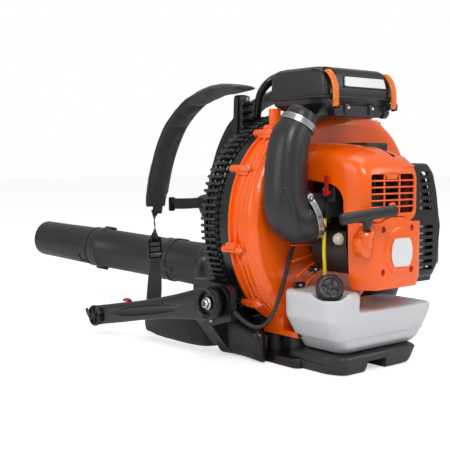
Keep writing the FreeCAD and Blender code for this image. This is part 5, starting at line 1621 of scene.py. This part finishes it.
@dataclass
class FanHousing:
    """Ridges, bosses, clips and the comb of the air inlet round the scroll."""

    ridge_levels: tuple[float, ...] = (-18, -31, -43)
    comb_start: float = 96
    comb_end: float = 246
    comb_step: float = 3.7

    def __post_init__(self) -> None:
        """Reads the scroll's outline from the frame."""
        low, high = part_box("crankshaft")
        self.centre = Vector(((low.x + high.x) / 2, 0, (low.z + high.z) / 2))
        self.scroll = Surface(frame["nodes"]["volute_rear"], frame["nodes"]["volute_front"])

    def rim(self, turn: float, y: float) -> tuple[Vector, Vector] | None:
        """The scroll's outside at an angle from +X and a depth."""
        angle = math.radians(turn)
        out = Vector((math.cos(angle), 0, math.sin(angle)))
        start = self.centre + out * 0.6
        start.y = y * MM
        return self.scroll.hit(start, -out)

    def ridges(self) -> None:
        """Stepped ridges that run round the scroll's shoulder."""
        pieces = []
        for level in self.ridge_levels:
            for start, end in ((62, 262), (20, 56)):
                spots = [self.rim(turn, level) for turn in range(start, end, 3)]
                path = [hit[0] for hit in spots if hit and hit[0].z > 0.06]
                for _ in range(4):
                    path = (path[:1] + [(a + b * 2 + c) / 4 for a, b, c in zip(path, path[1:], path[2:])]
                            + path[-1:])
                rings = swept_rings(path, lambda share: 2.6 * MM, 10, Vector((0, 1, 0)))
                pieces.append(paint(loft("ridge", rings), SHELL))
        settle(joined("scroll_ridges", pieces), None, "root", "orange_shell")

    def bosses(self) -> None:
        """Long screw bosses where the halves of the housing are held together."""
        pieces = []
        for turn in (140, 182, 218, 84, 52, 118):
            hit = self.rim(turn, 0)
            if hit is None:
                continue
            out = hit[1].copy()
            out.y = 0
            out.normalize()
            foot = hit[0] - out * 3 * MM
            profile = [(0, 30), (2.4, 30), (2.4, 24), (4.4, 24), (6.2, 22), (7.2, 0), (7.6, -22), (6.6, -24),
                       (0, -24)]
            post = lathe("boss", profile, foot + out * 4 * MM - mm(0, 8, 0),
                          Vector((0, -1, 0)), 24)
            pieces.append(paint(post, SHELL))
            side = Vector((0, 1, 0)).cross(out)
            web = [foot + side * a * MM + out * b * MM - mm(0, 30, 0)
                   for a, b in ((-12, 0), (12, 0), (5, 6), (-5, 6))]
            pieces.append(paint(soften(prism("web", web, mm(0, 34, 0)), 1.5 * MM, 3), SHELL))
            pieces.append(screw_head(foot + out * 4 * MM - mm(0, 31, 0), Vector((0, -1, 0)), 4.2 * MM))
        settle(joined("scroll_bosses", pieces), None, "root", "orange_shell")

    def comb(self) -> None:
        """Black ribs of the inlet guard, standing out round the frame side of the scroll."""
        near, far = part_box("intake_guard")[0].y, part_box("intake_guard")[1].y - 0.001
        pieces = []
        turn = self.comb_start
        hoop: list[Vector] = []
        while turn <= self.comb_end:
            hit = self.rim(turn, 20)
            turn += self.comb_step
            if hit is None or hit[0].z < 0.075:
                continue
            out = (hit[0] - self.centre)
            out.y = 0
            out.normalize()
            side = Vector((0, 1, 0)).cross(out)
            foot = Vector((hit[0].x, near - 0.008, hit[0].z)) - out * 4 * MM
            hoop.append(foot + out * 1 * MM)
            corners = ((-3.0, 0), (3.0, 0), (2.7, 9.6), (1.8, 10.6), (-1.8, 10.6), (-2.7, 9.6))
            outline = [foot + side * a * MM + out * b * MM for a, b in corners]
            rib = prism("rib", outline, Vector((0, far - near + 0.008, 0)))
            # The ribs get the dark grey, lighter than the black hoops, as a painted highlight on the black
            # guard.
            pieces.append(paint(soften(rib, 0.8 * MM, 2), DARK_GREY))
        for depth in (near - 0.005, (near + far) / 2, far - 0.003):
            path = [Vector((spot.x, depth, spot.z)) for spot in hoop]
            rings = swept_rings(path, lambda share: 3.2 * MM, 8, Vector((0, 1, 0)))
            pieces.append(paint(loft("hoop", rings), BLACK))
        settle(joined("inlet_comb", pieces), None, "root", "black_plastic")

    def clips(self) -> None:
        """Black cable clips screwed to the housing's rear face."""
        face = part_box("volute_rear")[0].y
        pieces = []
        for x, z in ((-104, 150), (-66, 176), (-92, 60)):
            place = Vector((x * MM, face - 0.001, z * MM))
            block = [place + mm(a, 0, b) for a, b in ((-9, -5), (9, -5), (9, 5), (-9, 5))]
            pieces.append(paint(soften(prism("clip", block, mm(0, -9, 0)), 2 * MM, 3), BLACK))
            for dx in (-9, 9):
                tip = turned("tip", [(0, 0.005), (0.0035, 0.005), (0.005, 0.003), (0.005, 0), (0, 0)],
                             place + mm(dx, -5, 0), Vector((0, -1, 0)), 20)
                pieces.append(paint(tip, BLACK))
            pieces.append(screw_head(place + mm(0, -9, 0), Vector((0, -1, 0)), 3.2 * MM))
        settle(joined("cable_clips", pieces), None, "root", "black_plastic")

    def gussets(self) -> None:
        """Cooling-air ribs and struts on the housing's rear face, beside the engine."""
        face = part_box("volute_rear")[0].y
        pieces = []
        for turn in range(150, 290, 14):
            angle = math.radians(turn)
            out = Vector((math.cos(angle), 0, math.sin(angle)))
            side = Vector((0, 1, 0)).cross(out)
            inner = Vector((self.centre.x, face, self.centre.z)) + out * 0.070
            outline = [inner - side * 0.0012, inner + side * 0.0012, inner + out * 0.05 + side * 0.0012,
                       inner + out * 0.05 - side * 0.0012]
            pieces.append(paint(soften(prism("rib", outline, mm(0, -6, 0)), 0.8 * MM), SHELL))
        settle(joined("scroll_face_ribs", pieces), None, "root", "orange_shell")

    def build(self) -> None:
        """Makes what is on the fan housing."""
        self.ridges()
        self.bosses()
        self.comb()
        self.clips()
        self.gussets()


@dataclass
class BackFrame:
    """Upright frame with its windows, ribs, strap adjusters and carrying loop."""

    rear: float = 80
    front: float = 92

    def build(self) -> None:
        """Makes the upright frame."""
        outline = [(-112, 20), (112, 20), (124, 120), (118, 300), (102, 372), (98, 498), (70, 498), (62, 400),
                   (-62, 400),
                   (-70, 498), (-98, 498), (-102, 372), (-118, 300), (-124, 120)]
        plate = prism("frame_panel", rounded_outline(plane_points(outline, "xz", self.rear), 9 * MM),
                      mm(0, self.front - self.rear, 0))
        windows = []
        for z, width, tall in ((62, 150, 66), (150, 170, 60), (232, 160, 60), (314, 120, 58)):
            for side in (-1, 1):
                pairs = [(side * 9, z), (side * width / 2, z), (side * (width / 2 - 5), z + tall),
                         (side * 9, z + tall)]
                windows.append(prism("window", rounded_outline(plane_points(pairs, "xz", 60), 9 * MM),
                                     mm(0, 60, 0)))
        plate = carve(plate, *windows)
        settle(soften(plate, 2 * MM, 3), BLACK, "root", "black_plastic", "back_panel")
        pieces = []
        for side in (-1, 1):
            rail = prism("rail", rounded_outline(plane_points(
                [(side * 72, 392), (side * 96, 392), (side * 95, 496), (side * 73, 496)], "xz",
                self.rear - 8), 4 * MM), mm(0, 8, 0))
            pieces.append(paint(soften(rail, 2 * MM, 3), GREY))
            for step in range(6):
                bar = brick("bar", mm(side * 84 - 13, self.rear - 14, 402 + 15 * step),
                            mm(side * 84 + 13, self.rear - 6, 409 + 15 * step))
                pieces.append(paint(soften(bar, 2 * MM, 3), BLACK))
            pieces.append(screw_head(mm(side * 84, self.rear - 13, 488), Vector((0, -1, 0)), 4.5 * MM))
        settle(joined("strap_adjusters", pieces), None, "root", "grey_plastic")
        path = smooth_path([mm(-46, 84, 452), mm(-45, 74, 500), mm(-32, 58, 526), mm(0, 52, 536),
                            mm(32, 58, 526), mm(45, 74, 500),
                            mm(46, 84, 452)], 8)
        loop = loft("carrying_loop", swept_rings(path, lambda share: 9 * MM, 20, Vector((0, 1, 0)), 0.7))
        settle(loop, BLACK, "root", "black_plastic")
        cross = brick("frame_crossbar", mm(-72, 80, 436), mm(72, 91, 458))
        settle(soften(cross, 3 * MM, 3), BLACK, "root", "black_plastic")


# ---- throttle arm ---------------------------------------------------------------------------


@dataclass
class ControlArm:
    """Throttle arm with its deep pivot recess, side groove, end knuckle and lever."""

    half_heights: tuple[tuple[float, float, float], ...] = (
        (-22, 7, 16), (-12, 12, 26), (0, 14, 30), (16, 14, 30.5), (40, 13.4, 28.5), (95, 12.8, 24),
        (160, 12.2, 21),
        (225, 12, 19.5), (300, 12, 20.5), (360, 12, 20.5), (376, 12, 20), (384, 11, 18))

    def __post_init__(self) -> None:
        """Reads the arm's line from its joints."""
        self.pivot = Vector(joint_of("arm_swing")["pos_m"])
        self.end = Vector(joint_of("throttle_turn")["pos_m"])
        self.along = (self.end - self.pivot).normalized()
        self.rise = Vector((1, 0, 0)).cross(self.along)
        self.out = Vector((-1, 0, 0))

    def spot(self, along: float, rise: float, out: float) -> Vector:
        """A point by its distance along the arm, its height and how far it stands out."""
        return self.pivot + (self.along * along + self.rise * rise + self.out * out) * MM

    def build(self) -> None:
        """Makes the arm, its bolt, its lever and its switch."""
        rings = [ring(self.spot(along, 0, 0), self.out, self.rise, wide * MM, tall * MM, 40, 3.4)
                 for along, wide, tall in self.half_heights]
        beam = loft("arm_beam", rings)
        recess = turned("recess", [(0, 0.03), (0.0225, 0.03), (0.0205, 0.006), (0, 0.006)],
                        self.pivot, self.out, 48)
        groove_rings = []
        for step in range(17):
            u = step / 8 - 1
            size = max(0.02, (1 - u * u) ** 0.5)
            groove_rings.append(ring(self.spot(205 + 118 * u, 1.5 * u, 14.5), self.out, self.rise,
                                     9 * size * MM, 10.5 * size * MM, 20))
        groove = loft("groove", groove_rings)
        bore = turned("bore", [(0, 0.03), (0.00605, 0.03), (0.00605, -0.03), (0, -0.03)],
                      self.pivot, self.out, 32)
        beam = soften(carve(beam, recess, groove, bore), 1.4 * MM, 3, 32)
        rim = [(24.5, 13), (28, 14.6), (29.6, 13), (29.6, 10), (24.5, 10), (24.5, 13)]
        pieces = [paint(beam, BLACK), paint(lathe("rim", rim, self.pivot, self.out, 56), BLACK)]
        for along in (140, 150):
            block = [self.spot(along + a, b, 9) for a, b in ((-2, 8), (4, 8), (4, 13), (-2, 13))]
            pieces.append(paint(soften(prism("stud", block, self.out * 5 * MM), 0.8 * MM), GREY))
        knuckle = [(0, 14.5), (17, 14.5), (20.5, 12.5), (21, 8), (21, -10), (20, -13), (0, -13)]
        pieces.append(paint(lathe("knuckle", knuckle, self.end, self.out, 44), BLACK))
        settle(joined("throttle_arm_body", pieces), None, body_of("throttle_arm"), "black_plastic",
               "throttle_arm")
        self.bolt()
        self.lever()
        self.switch()

    def bolt(self) -> None:
        """Pivot bolt with a washer and a hexagon head."""
        washer = [(0, 10.6), (11.2, 10.6), (11.6, 10), (11.6, 8.4), (0, 8.4)]
        head = turned("head",
                      [(0, 0.0168), (0.0062, 0.0168), (0.0092, 0.0158), (0.0092, 0.0104), (0, 0.0104)],
                      self.pivot, self.out, 6)
        pieces = [paint(lathe("washer", washer, self.pivot, self.out, 40), STEEL),
                  paint(soften(head, 0.7 * MM, 2, 25), STEEL),
                  paint(turned("dimple", [(0, 0.0172), (0.0045, 0.0172), (0.0048, 0.0166), (0, 0.0166)],
                               self.pivot, self.out, 24), ALLOY)]
        shank = [(0, 9), (5.9, 9), (5.9, -22), (0, -22)]
        pieces.append(paint(lathe("shank", shank, self.pivot, self.out, 24), STEEL))
        settle(joined("arm_pivot_bolt", pieces), None, body_of("arm_bolt"), "steel", "arm_bolt")

    def lever(self) -> None:
        """Round end cap with cross ribs, a thumb tongue, and the finger lever inboard."""
        cap = [(17.5, 15.4), (17.5, 18), (19, 20.6), (21.5, 20), (22.5, 17.5), (22.5, 15.2), (17.5, 15.2)]
        pieces = [paint(lathe("cap", cap, self.end, self.out, 48), BLACK),
                  paint(turned("face", [(0, 0.0166), (0.018, 0.0166), (0.018, 0.0152), (0, 0.0152)], self.end,
                               self.out, 40), BLACK)]
        for turn in (25, 85, 145):
            angle = math.radians(turn)
            spin = self.along * math.cos(angle) + self.rise * math.sin(angle)
            across = self.out.cross(spin)
            foot = self.end + self.out * 16 * MM
            outline = [foot + spin * a * 18 * MM + across * b * 1.5 * MM
                       for a, b in ((-1, -1), (1, -1), (1, 1), (-1, 1))]
            pieces.append(paint(soften(prism("rib", outline, self.out * 4 * MM), 0.6 * MM), BLACK))
        pieces.append(paint(turned("hub", [(0, 0.0215), (0.004, 0.0212), (0.0055, 0.019), (0.0055, 0.016),
                                           (0, 0.016)], self.end, self.out, 24), BLACK))
        thumb = [self.end + self.out * 15.4 * MM + (self.along * a + self.rise * b) * MM
                 for a, b in ((14, -6), (24, -2), (30, 6), (33, 16), (28, 19), (22, 12), (12, 8))]
        pieces.append(paint(soften(prism("thumb", rounded_outline(thumb, 3 * MM, 3), self.out * 4 * MM),
                                   1 * MM, 3), GREY))
        shaft = [(0, 16), (4.9, 16), (4.9, -24), (0, -24)]
        pieces.append(paint(lathe("shaft", shaft, self.end, self.out, 24), STEEL))
        inner = self.end - self.out * 17 * MM
        hub = [(0, 0), (13, 0), (14, -1.5), (14, -7), (0, -7)]
        pieces.append(paint(lathe("hub", hub, inner, self.out, 36), BLACK))
        paddle = [inner + (self.along * a + self.rise * b) * MM
                  for a, b in ((8, 10), (-10, 16), (-46, 19), (-50, 14), (-44, 9), (-10, 4), (6, 0))]
        pieces.append(paint(soften(prism("paddle", rounded_outline(paddle, 4 * MM, 3), self.out * -7 * MM),
                                   1.6 * MM, 3), BLACK))
        settle(joined("throttle_lever_set", pieces), None, body_of("throttle_lever"), "black_plastic",
               "throttle_lever")

    def switch(self) -> None:
        """Ribbed stop slider on the arm's top."""
        low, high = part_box("stop_switch")
        pieces = [paint(soften(brick("slider", low, high), 1.2 * MM, 3), RED)]
        for step in range(3):
            y = low.y + (high.y - low.y) * (0.3 + 0.2 * step)
            rib = brick("rib", Vector((low.x + 0.001, y - 0.0008, high.z - 0.001)),
                        Vector((high.x - 0.001, y + 0.0008, high.z + 0.0012)))
            pieces.append(paint(soften(rib, 0.5 * MM), RED))
        settle(joined("stop_slider", pieces), None, body_of("stop_switch"), "red_plastic", "stop_switch")


# ---- harness --------------------------------------------------------------------------------


@dataclass
class Harness:
    """Quilted shoulder straps, hip belt and back pad, with their webbing, seams and buckles."""

    strap_half: float = 31
    strap_thick: float = 15
    stitch_pitch: float = 5.2
    strap_line: tuple[tuple[float, float], ...] = (
        (70, 507), (96, 511), (120, 513), (150, 512), (190, 504), (228, 492), (264, 471), (296, 446),
        (318, 419), (336, 390),
        (350, 359), (360, 330), (368, 299), (374, 268))

    def pad(self, name: str, path: Points, across: Callable[[int], Vector], half: float, thick: float,
            channels: int) -> bpy.types.Object:
        """A padded band along a path.

        Args:
            name: The piece's name.
            path: Its centreline.
            across: The direction of its width at a point's index.
            half: Half its width in millimetres.
            thick: Its thickness in millimetres.
            channels: Sewn channels along it.

        Returns:
            The stuffed and sewn piece, not yet painted.
        """
        rings = []
        last = len(path) - 1
        count = 12 * channels
        for index, point in enumerate(path):
            tangent = (path[min(index + 1, last)] - path[max(index - 1, 0)]).normalized()
            side = across(index).normalized()
            out = tangent.cross(side).normalized()
            taper = min(1.0, (min(index, last - index) + 0.35) / 2.2) ** 0.45
            section = []
            for face in (1, -1):
                for step in range(count):
                    u = (step / count * 2 - 1) * face
                    crown = (1 - abs(u) ** 5) ** 0.5
                    dip = 1 - abs(math.sin(math.pi * (u + 1) / 2 * channels)) ** 0.6
                    lobe = 1 - 0.38 * taper ** 2 * dip
                    height = face * thick / 2 * crown * (lobe if face > 0 else 0.9)
                    section.append(point + side * u * half * (0.86 + 0.14 * taper) * MM
                                   + out * height * taper * MM)
            rings.append(section)
        piece = loft(name, rings)
        return self.stuffed(piece, 4.0, 3.0, 5.0)

    def stuffed(self, piece: bpy.types.Object, voxel: float, pressure: float, cap: float) -> bpy.types.Object:
        """Swells a closed cage by cloth simulation, held within a cap, and eases it.

        Args:
            piece: The closed cage.
            voxel: Size of the remeshed faces in millimetres.
            pressure: Air pressure inside.
            cap: How far a point may move, in millimetres.

        Returns:
            The swollen piece.
        """
        grid = piece.modifiers.new("grid", "REMESH")
        grid.mode = "VOXEL"
        grid.voxel_size = voxel * MM
        grid.use_smooth_shade = True
        piece = bake_stack(piece)
        start = [vertex.co.copy() for vertex in piece.data.vertices]
        cloth = piece.modifiers.new("stuffing", "CLOTH")
        cloth.settings.use_pressure = True
        cloth.settings.uniform_pressure_force = pressure
        cloth.settings.effector_weights.gravity = 0
        cloth.settings.quality = 4
        cloth.settings.tension_stiffness = 18
        cloth.settings.bending_stiffness = 0.6
        cloth.collision_settings.use_collision = False
        scene = bpy.context.scene
        for number in range(1, 17):
            scene.frame_set(number)
        seen = bpy.context.evaluated_depsgraph_get()
        moved = [vertex.co.copy() for vertex in piece.evaluated_get(seen).data.vertices]
        piece.modifiers.remove(cloth)
        scene.frame_set(1)
        for vertex, old, new in zip(piece.data.vertices, start, moved):
            step = new - old
            limit = cap * MM
            vertex.co = old + (step if step.length <= limit else step.normalized() * limit)
        ease = piece.modifiers.new("ease", "SMOOTH")
        ease.iterations = 2
        ease.factor = 0.5
        subdivide(piece, 1)
        return bake_stack(piece)

    def seams(self, name: str, piece: bpy.types.Object, path: Points, across: Callable[[int], Vector],
              offsets: Sequence[float], facing: float) -> bpy.types.Object:
        """Rows of stitches laid on a padded piece, parallel to its path.

        Args:
            name: The new mesh's name.
            piece: The pad they lie on.
            path: The pad's middle line.
            across: The pad's sideways direction at a point of the path.
            offsets: How far each row is from the middle line, in millimetres.
            facing: 1 or -1, the side of the pad they are on.

        Returns:
            One mesh of all the stitches.
        """
        surface = Surface(piece)
        stitches = []
        fine = smooth_path(path, 12)
        for offset in offsets:
            run = 0.0
            for index in range(1, len(fine) - 1):
                run += (fine[index] - fine[index - 1]).length
                if run < self.stitch_pitch * MM:
                    continue
                run = 0.0
                tangent = (fine[index + 1] - fine[index - 1]).normalized()
                side = across(min(len(path) - 1, index // 12)).normalized()
                out = tangent.cross(side).normalized() * facing
                hit = surface.hit(fine[index] + side * offset * MM + out * 0.05, -out)
                if hit is None:
                    continue
                centre = hit[0] + out * 0.15 * MM
                around = tangent.cross(out)
                stitches.append([centre + tangent * a * 1.7 * MM + around * b * 0.42 * MM + out * c * 0.4 * MM
                                 for a, b, c in ((-1, 0, -0.6), (0, 1, 0), (1, 0, -0.6),
                                                 (0, -1, 0), (0, 0, 1))])
        points = [point for stitch in stitches for point in stitch]
        faces = []
        for index in range(len(stitches)):
            k = index * 5
            faces += [(k, k + 1, k + 4), (k + 1, k + 2, k + 4), (k + 2, k + 3, k + 4), (k + 3, k, k + 4),
                      (k + 3, k + 2, k + 1, k)]
        return turn_outwards(new_mesh(name, points, faces), 1e-7)

    def piping(self, piece: bpy.types.Object, path: Points,
               across: Callable[[int], Vector]) -> list[bpy.types.Object]:
        """Bound edges laid along both sides of a padded band."""
        surface = Surface(piece)
        pieces = []
        for sign in (-1, 1):
            spots = []
            for index in range(1, len(path) - 1):
                side = across(index).normalized() * sign
                hit = surface.hit(path[index] + side * 0.2, -side)
                if hit:
                    spots.append(hit[0] - side * 0.6 * MM)
            rings = swept_rings(smooth_path(spots, 3), lambda share: 2.1 * MM, 10)
            pieces.append(paint(loft("piping", rings), WEBBING))
        return pieces

    def shoulder(self, node: str, x: float) -> None:
        """One shoulder strap with bound edges, stitching and a webbing tab."""
        path = [mm(x, y, z) for y, z in self.strap_line]
        sideways = Vector((1, 0, 0))
        piece = self.pad(node + "_pad", path, lambda index: sideways, self.strap_half, self.strap_thick, 3)
        settle(piece, PAD, "root", "pad_fabric", node)
        trims = self.piping(piece, path, lambda index: sideways)
        settle(joined(node + "_binding", trims), None, "root", "webbing")
        rows = [self.seams(node + "_stitching", piece, path, lambda index: sideways,
                           (-26, -10.5, 10.5, 26), -1),
                self.seams("inner_rows", piece, path, lambda index: sideways, (-26, 26), 1)]
        settle(joined(node + "_stitching", [paint(row, STITCH) for row in rows]), None, "root", "webbing")
        foot = self.ribbon([path[-1] + mm(0, -8, 34), path[-1] + mm(1, -7, 10), path[-1] + mm(1, -2, -14)],
                           lambda share: sideways, 13, 2.2)
        settle(foot, WEBBING, "root", "webbing")

    def ribbon(self, path: Points, across: Callable[[float], Vector], half: float,
               thick: float) -> bpy.types.Object:
        """A flat strap along a path, with rounded edges.

        Args:
            path: Its centreline.
            across: The direction of its width at a share of the path.
            half: Half its width in millimetres.
            thick: Its thickness in millimetres.

        Returns:
            The strap.
        """
        rings = []
        last = len(path) - 1
        for index, point in enumerate(path):
            tangent = (path[min(index + 1, last)] - path[max(index - 1, 0)]).normalized()
            side = across(index / last)
            side = (side - tangent * side.dot(tangent)).normalized()
            out = tangent.cross(side).normalized()
            rings.append(ring(point, side, out, half * MM, thick / 2 * MM, 16, 5))
        return loft("ribbon", rings)

    def webbing(self) -> None:
        """The twisted webbing below each pad, and the cloth wing down to the belt."""
        pieces = []
        for x in (-85, 85):
            path = smooth_path([mm(x, 376, 262), mm(x - 1, 379, 240),
                                mm(x + 1, 381, 222), mm(x, 381.5, 199)], 8)

            def turn(share: float) -> Vector:
                """Width direction, which twists half round and back."""
                angle = math.radians(62) * math.sin(math.pi * share)
                return Vector((math.cos(angle), math.sin(angle), 0))

            pieces.append(paint(self.ribbon(path, turn, 12, 1.9), WEBBING))
            tail = smooth_path([mm(x + 3, 384, 196), mm(x + 4, 389, 176), mm(x + 2, 388, 152),
                                mm(x + 5, 384, 128)], 6)
            if x > 0:
                pieces.append(paint(self.ribbon(tail, lambda share: Vector((1, 0.25, 0)), 11, 1.8), WEBBING))
        rows = [((-97, -73), (378, 378), 154), ((-105, -74), (372, 374), 142), ((-120, -80), (355, 362), 124),
                ((-138, -94), (332, 340), 104), ((-152, -108), (318, 322), 66)]
        points: list[Vector] = []
        for (x0, x1), (y0, y1), z in rows:
            for step in range(7):
                u = step / 6
                bow = math.sin(math.pi * u) * 4
                points.append(mm(x0 + (x1 - x0) * u - bow, y0 + (y1 - y0) * u + bow * 0.4, z))
        faces = [(row * 7 + k, row * 7 + k + 1, row * 7 + k + 8, row * 7 + k + 7)
                 for row in range(len(rows) - 1) for k in range(6)]
        wing = new_mesh("wing", points, faces)
        wall = wing.modifiers.new("wall", "SOLIDIFY")
        wall.thickness = 3 * MM
        wall.offset = 0
        subdivide(wing, 2)
        pieces.append(paint(bake_stack(wing), PAD))
        settle(joined("lower_webbing_set", pieces), None, "root", "webbing", "lower_webbing")

    def buckles(self) -> None:
        """Ladder buckles: a frame with three bars and a lifting tab."""
        pieces = []
        for x in (-85, 85):
            frame_outline = rounded_outline(plane_points(
                [(x - 18, 154), (x + 18, 154), (x + 18, 198), (x - 18, 198)], "xz", 377.5), 5 * MM)
            plate = prism("buckle", frame_outline, mm(0, 5.5, 0))
            holes = [brick("hole", mm(x - 13, 370, z), mm(x + 13, 390, z + 7.5)) for z in (158.5, 171, 183.5)]
            pieces.append(paint(soften(carve(plate, *holes), 1.2 * MM, 3), BLACK))
            edge = [(x - 15, 190), (x + 15, 190), (x + 12, 203), (x - 12, 203)]
            tab = prism("tab", rounded_outline(plane_points(edge, "xz", 373.5), 3 * MM), mm(0, 4, 0))
            pieces.append(paint(soften(tab, 1.2 * MM, 3), BLACK))
            pin = wire("pin", [mm(x - 16, 378, 164), mm(x, 376, 164), mm(x + 16, 378, 164)], 1.6 * MM)
            pieces.append(paint(pin, STEEL))
        settle(joined("ladder_buckles", pieces), None, "root", "black_plastic", "strap_buckles")

    def chest(self) -> None:
        """Chest strap with its sliding loops."""
        pieces = [paint(self.ribbon(smooth_path([mm(-57, 362, 276), mm(-30, 364.5, 274.6), mm(0, 365.5, 274),
                                                 mm(30, 364.5, 274.6),
                                                 mm(57, 362, 276)], 5), lambda share: UP, 12, 2), WEBBING)]
        for x in (-50, 50):
            edge = [(x - 7, 259), (x + 7, 259), (x + 7, 290), (x - 7, 290)]
            slider = prism("slider", rounded_outline(plane_points(edge, "xz", 360), 3 * MM), mm(0, 6.5, 0))
            pieces.append(paint(soften(slider, 1.5 * MM, 3), BLACK))
        settle(joined("chest_strap_set", pieces), None, "root", "webbing", "chest_strap")

    def belt(self) -> None:
        """Hip belt: long left wing, short folded right wing, and its seams."""
        pads = []
        for name, line in (
                ("hip_belt_left", [(-104, 100), (-124, 107), (-143, 124), (-155, 154), (-160, 190),
                                   (-161, 230), (-159, 270), (-153, 312)]),
                ("hip_belt_right", [(88, 104), (100, 114), (106, 134), (106, 160), (104, 186), (101, 208)])):
            path = [mm(x, y, 46) for x, y in line]
            piece = self.pad(name, path, lambda index: UP, 40, 16, 3)
            if pads:
                settle(piece, PAD, "root", "pad_fabric")
            else:
                settle(piece, PAD, "root", "pad_fabric", "hip_belt")
            pads.append(piece)
            edges = self.piping(piece, path, lambda index: UP)
            settle(joined(name + "_binding", edges), None, "root", "webbing")
            rows = [self.seams(name + "_rows", piece, path, lambda index: UP, (-34, -13, 13, 34), 1),
                    self.seams("rows", piece, path, lambda index: UP, (-34, -13, 13, 34), -1)]
            settle(joined(name + "_stitching", [paint(row, STITCH) for row in rows]), None, "root", "webbing")
        strip = self.ribbon(smooth_path([mm(-112, 92, 46), mm(-60, 100, 46), mm(0, 102, 46),
                                         mm(60, 100, 46), mm(96, 106, 46)], 5),
                            lambda share: UP, 24, 3)
        settle(strip, WEBBING, "root", "webbing")

    def back(self) -> None:
        """Back pad in three quilted columns on the frame's front."""
        low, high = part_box("back_pad")
        middle_y = (low.y + high.y) / 2
        path = [Vector((0, middle_y, low.z + (high.z - low.z) * step / 11)) for step in range(12)]
        half = (high.x - low.x) / 2 / MM - 5
        piece = self.pad("back_rest_pad", path, lambda index: Vector((-1, 0, 0)), half,
                         (high.y - low.y) / MM - 5, 4)
        settle(piece, PAD_MESH, "root", "pad_fabric", "back_pad")
        edges = self.piping(piece, path, lambda index: Vector((-1, 0, 0)))
        settle(joined("back_rest_binding", edges), None, "root", "webbing")

    def build(self) -> None:
        """Makes the whole harness."""
        self.shoulder("shoulder_strap_left", -85)
        self.shoulder("shoulder_strap_right", 85)
        self.webbing()
        self.buckles()
        self.chest()
        self.belt()
        self.back()


# ---- cords and small fittings ---------------------------------------------------------------


@dataclass
class Cords:
    """Throttle cable, fuel line, and the cradle and screws under the housing."""

    cable_route: tuple[tuple[float, float, float], ...] = (
        (-191, -20.5, 100), (-187, -46, 82), (-168, -68, 74), (-146, -74, 96), (-126, -74, 138),
        (-110, -74, 184),
        (-91, -72, 228), (-73, -73, 264), (-66, -93, 298))
    fuel_route: tuple[tuple[float, float, float], ...] = (
        (-78, -134, 270.4), (-85, -140, 242), (-91, -145, 210), (-84, -142, 176), (-78, -136, 145))

    def cord(self, node: str, route: Sequence[tuple[float, float, float]], radius: float,
             finish: MouldedPlastic) -> None:
        """A bevelled spline along a route, standing for a frame node."""
        data = bpy.data.curves.new(node + "_line", "CURVE")
        data.dimensions = "3D"
        spline = data.splines.new("NURBS")
        spline.points.add(len(route) - 1)
        for point, spot in zip(spline.points, route):
            point.co = (*mm(*spot), 1)
        spline.order_u = 3
        spline.use_endpoint_u = True
        spline.resolution_u = 10
        data.bevel_depth = radius * MM
        data.bevel_resolution = 5
        data.use_fill_caps = True
        item = bpy.data.objects.new(node + "_line", data)
        bpy.context.scene.collection.objects.link(item)
        data.materials.append(FINISH.get(finish))
        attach(item, "root")
        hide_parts(node)
        data.bevel_depth = 0
        bpy.context.view_layer.update()
        line = item.evaluated_get(bpy.context.evaluated_depsgraph_get()).to_mesh()
        data.bevel_depth = radius * MM

    def pull_rope(self) -> None:
        """The starter's rope, which runs out of its guide behind the grip."""
        pull = Vector(joint_of("starter_pull")["axis"]).normalized()
        mouth = mm(-84, -235, 250)
        path = [mouth + pull * step * 2 * MM for step in range(-7, 11)]
        rope = paint(loft("starter_pull_rope", swept_rings(path, lambda share: 1.7 * MM, 12)), ROPE)
        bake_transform(rope)

    def cradle(self) -> None:
        """The frame's curved foot under the fan housing, and its screws."""
        stations = ((-132, -34, 26, 10), (-128, -10, 30, 14), (-122, 20, 38, 20), (-120, 48, 48, 28),
                    (-124, 72, 60, 36))
        rings = []
        for x, y, half_height, half_width in stations:
            rings.append(ring(mm(x, y, half_height + 2), Vector((1, 0, 0)), UP, half_width * MM,
                              half_height * MM, 28, 3))
        settle(loft("frame_cradle", rings), BLACK, "root", "black_plastic")
        pieces = [screw_head(mm(x, y, z), direction(-1, -0.2, 0), 4 * MM)
                  for x, y, z in ((-199, 36, 78), (-199, 52, 122), (-150, 60, 40))]
        for x in (-85, 85):
            washer = [(0, 2), (13, 2), (13.5, 1.4), (13.5, 0), (0, 0)]
            pieces.append(paint(lathe("washer", washer, mm(x, -72, 18.6), UP, 32), STEEL))
        settle(joined("frame_screws", pieces), None, "root", "steel")

    def build(self) -> None:
        """Makes the cords and fittings."""
        self.cord("throttle_cable", self.cable_route, 3.6, SEAL)
        self.cord("fuel_line", self.fuel_route, 3.4, FUEL_HOSE)
        self.pull_rope()
        self.cradle()


def main() -> None:
    """Builds everything in order and reports it."""
    logging.basicConfig(level=logging.INFO, format="%(name)s: %(message)s")
    Studio().build()
    Castings().build()
    EngineCovers().build()
    MufflerGuard().build()
    FuelTank().build()
    AirFilter().build()
    BlowerTube().build()
    FanHousing().build()
    BackFrame().build()
    ControlArm().build()
    Harness().build()
    Cords().build()
    bpy.context.view_layer.update()


if __name__ == "__main__":
    main()
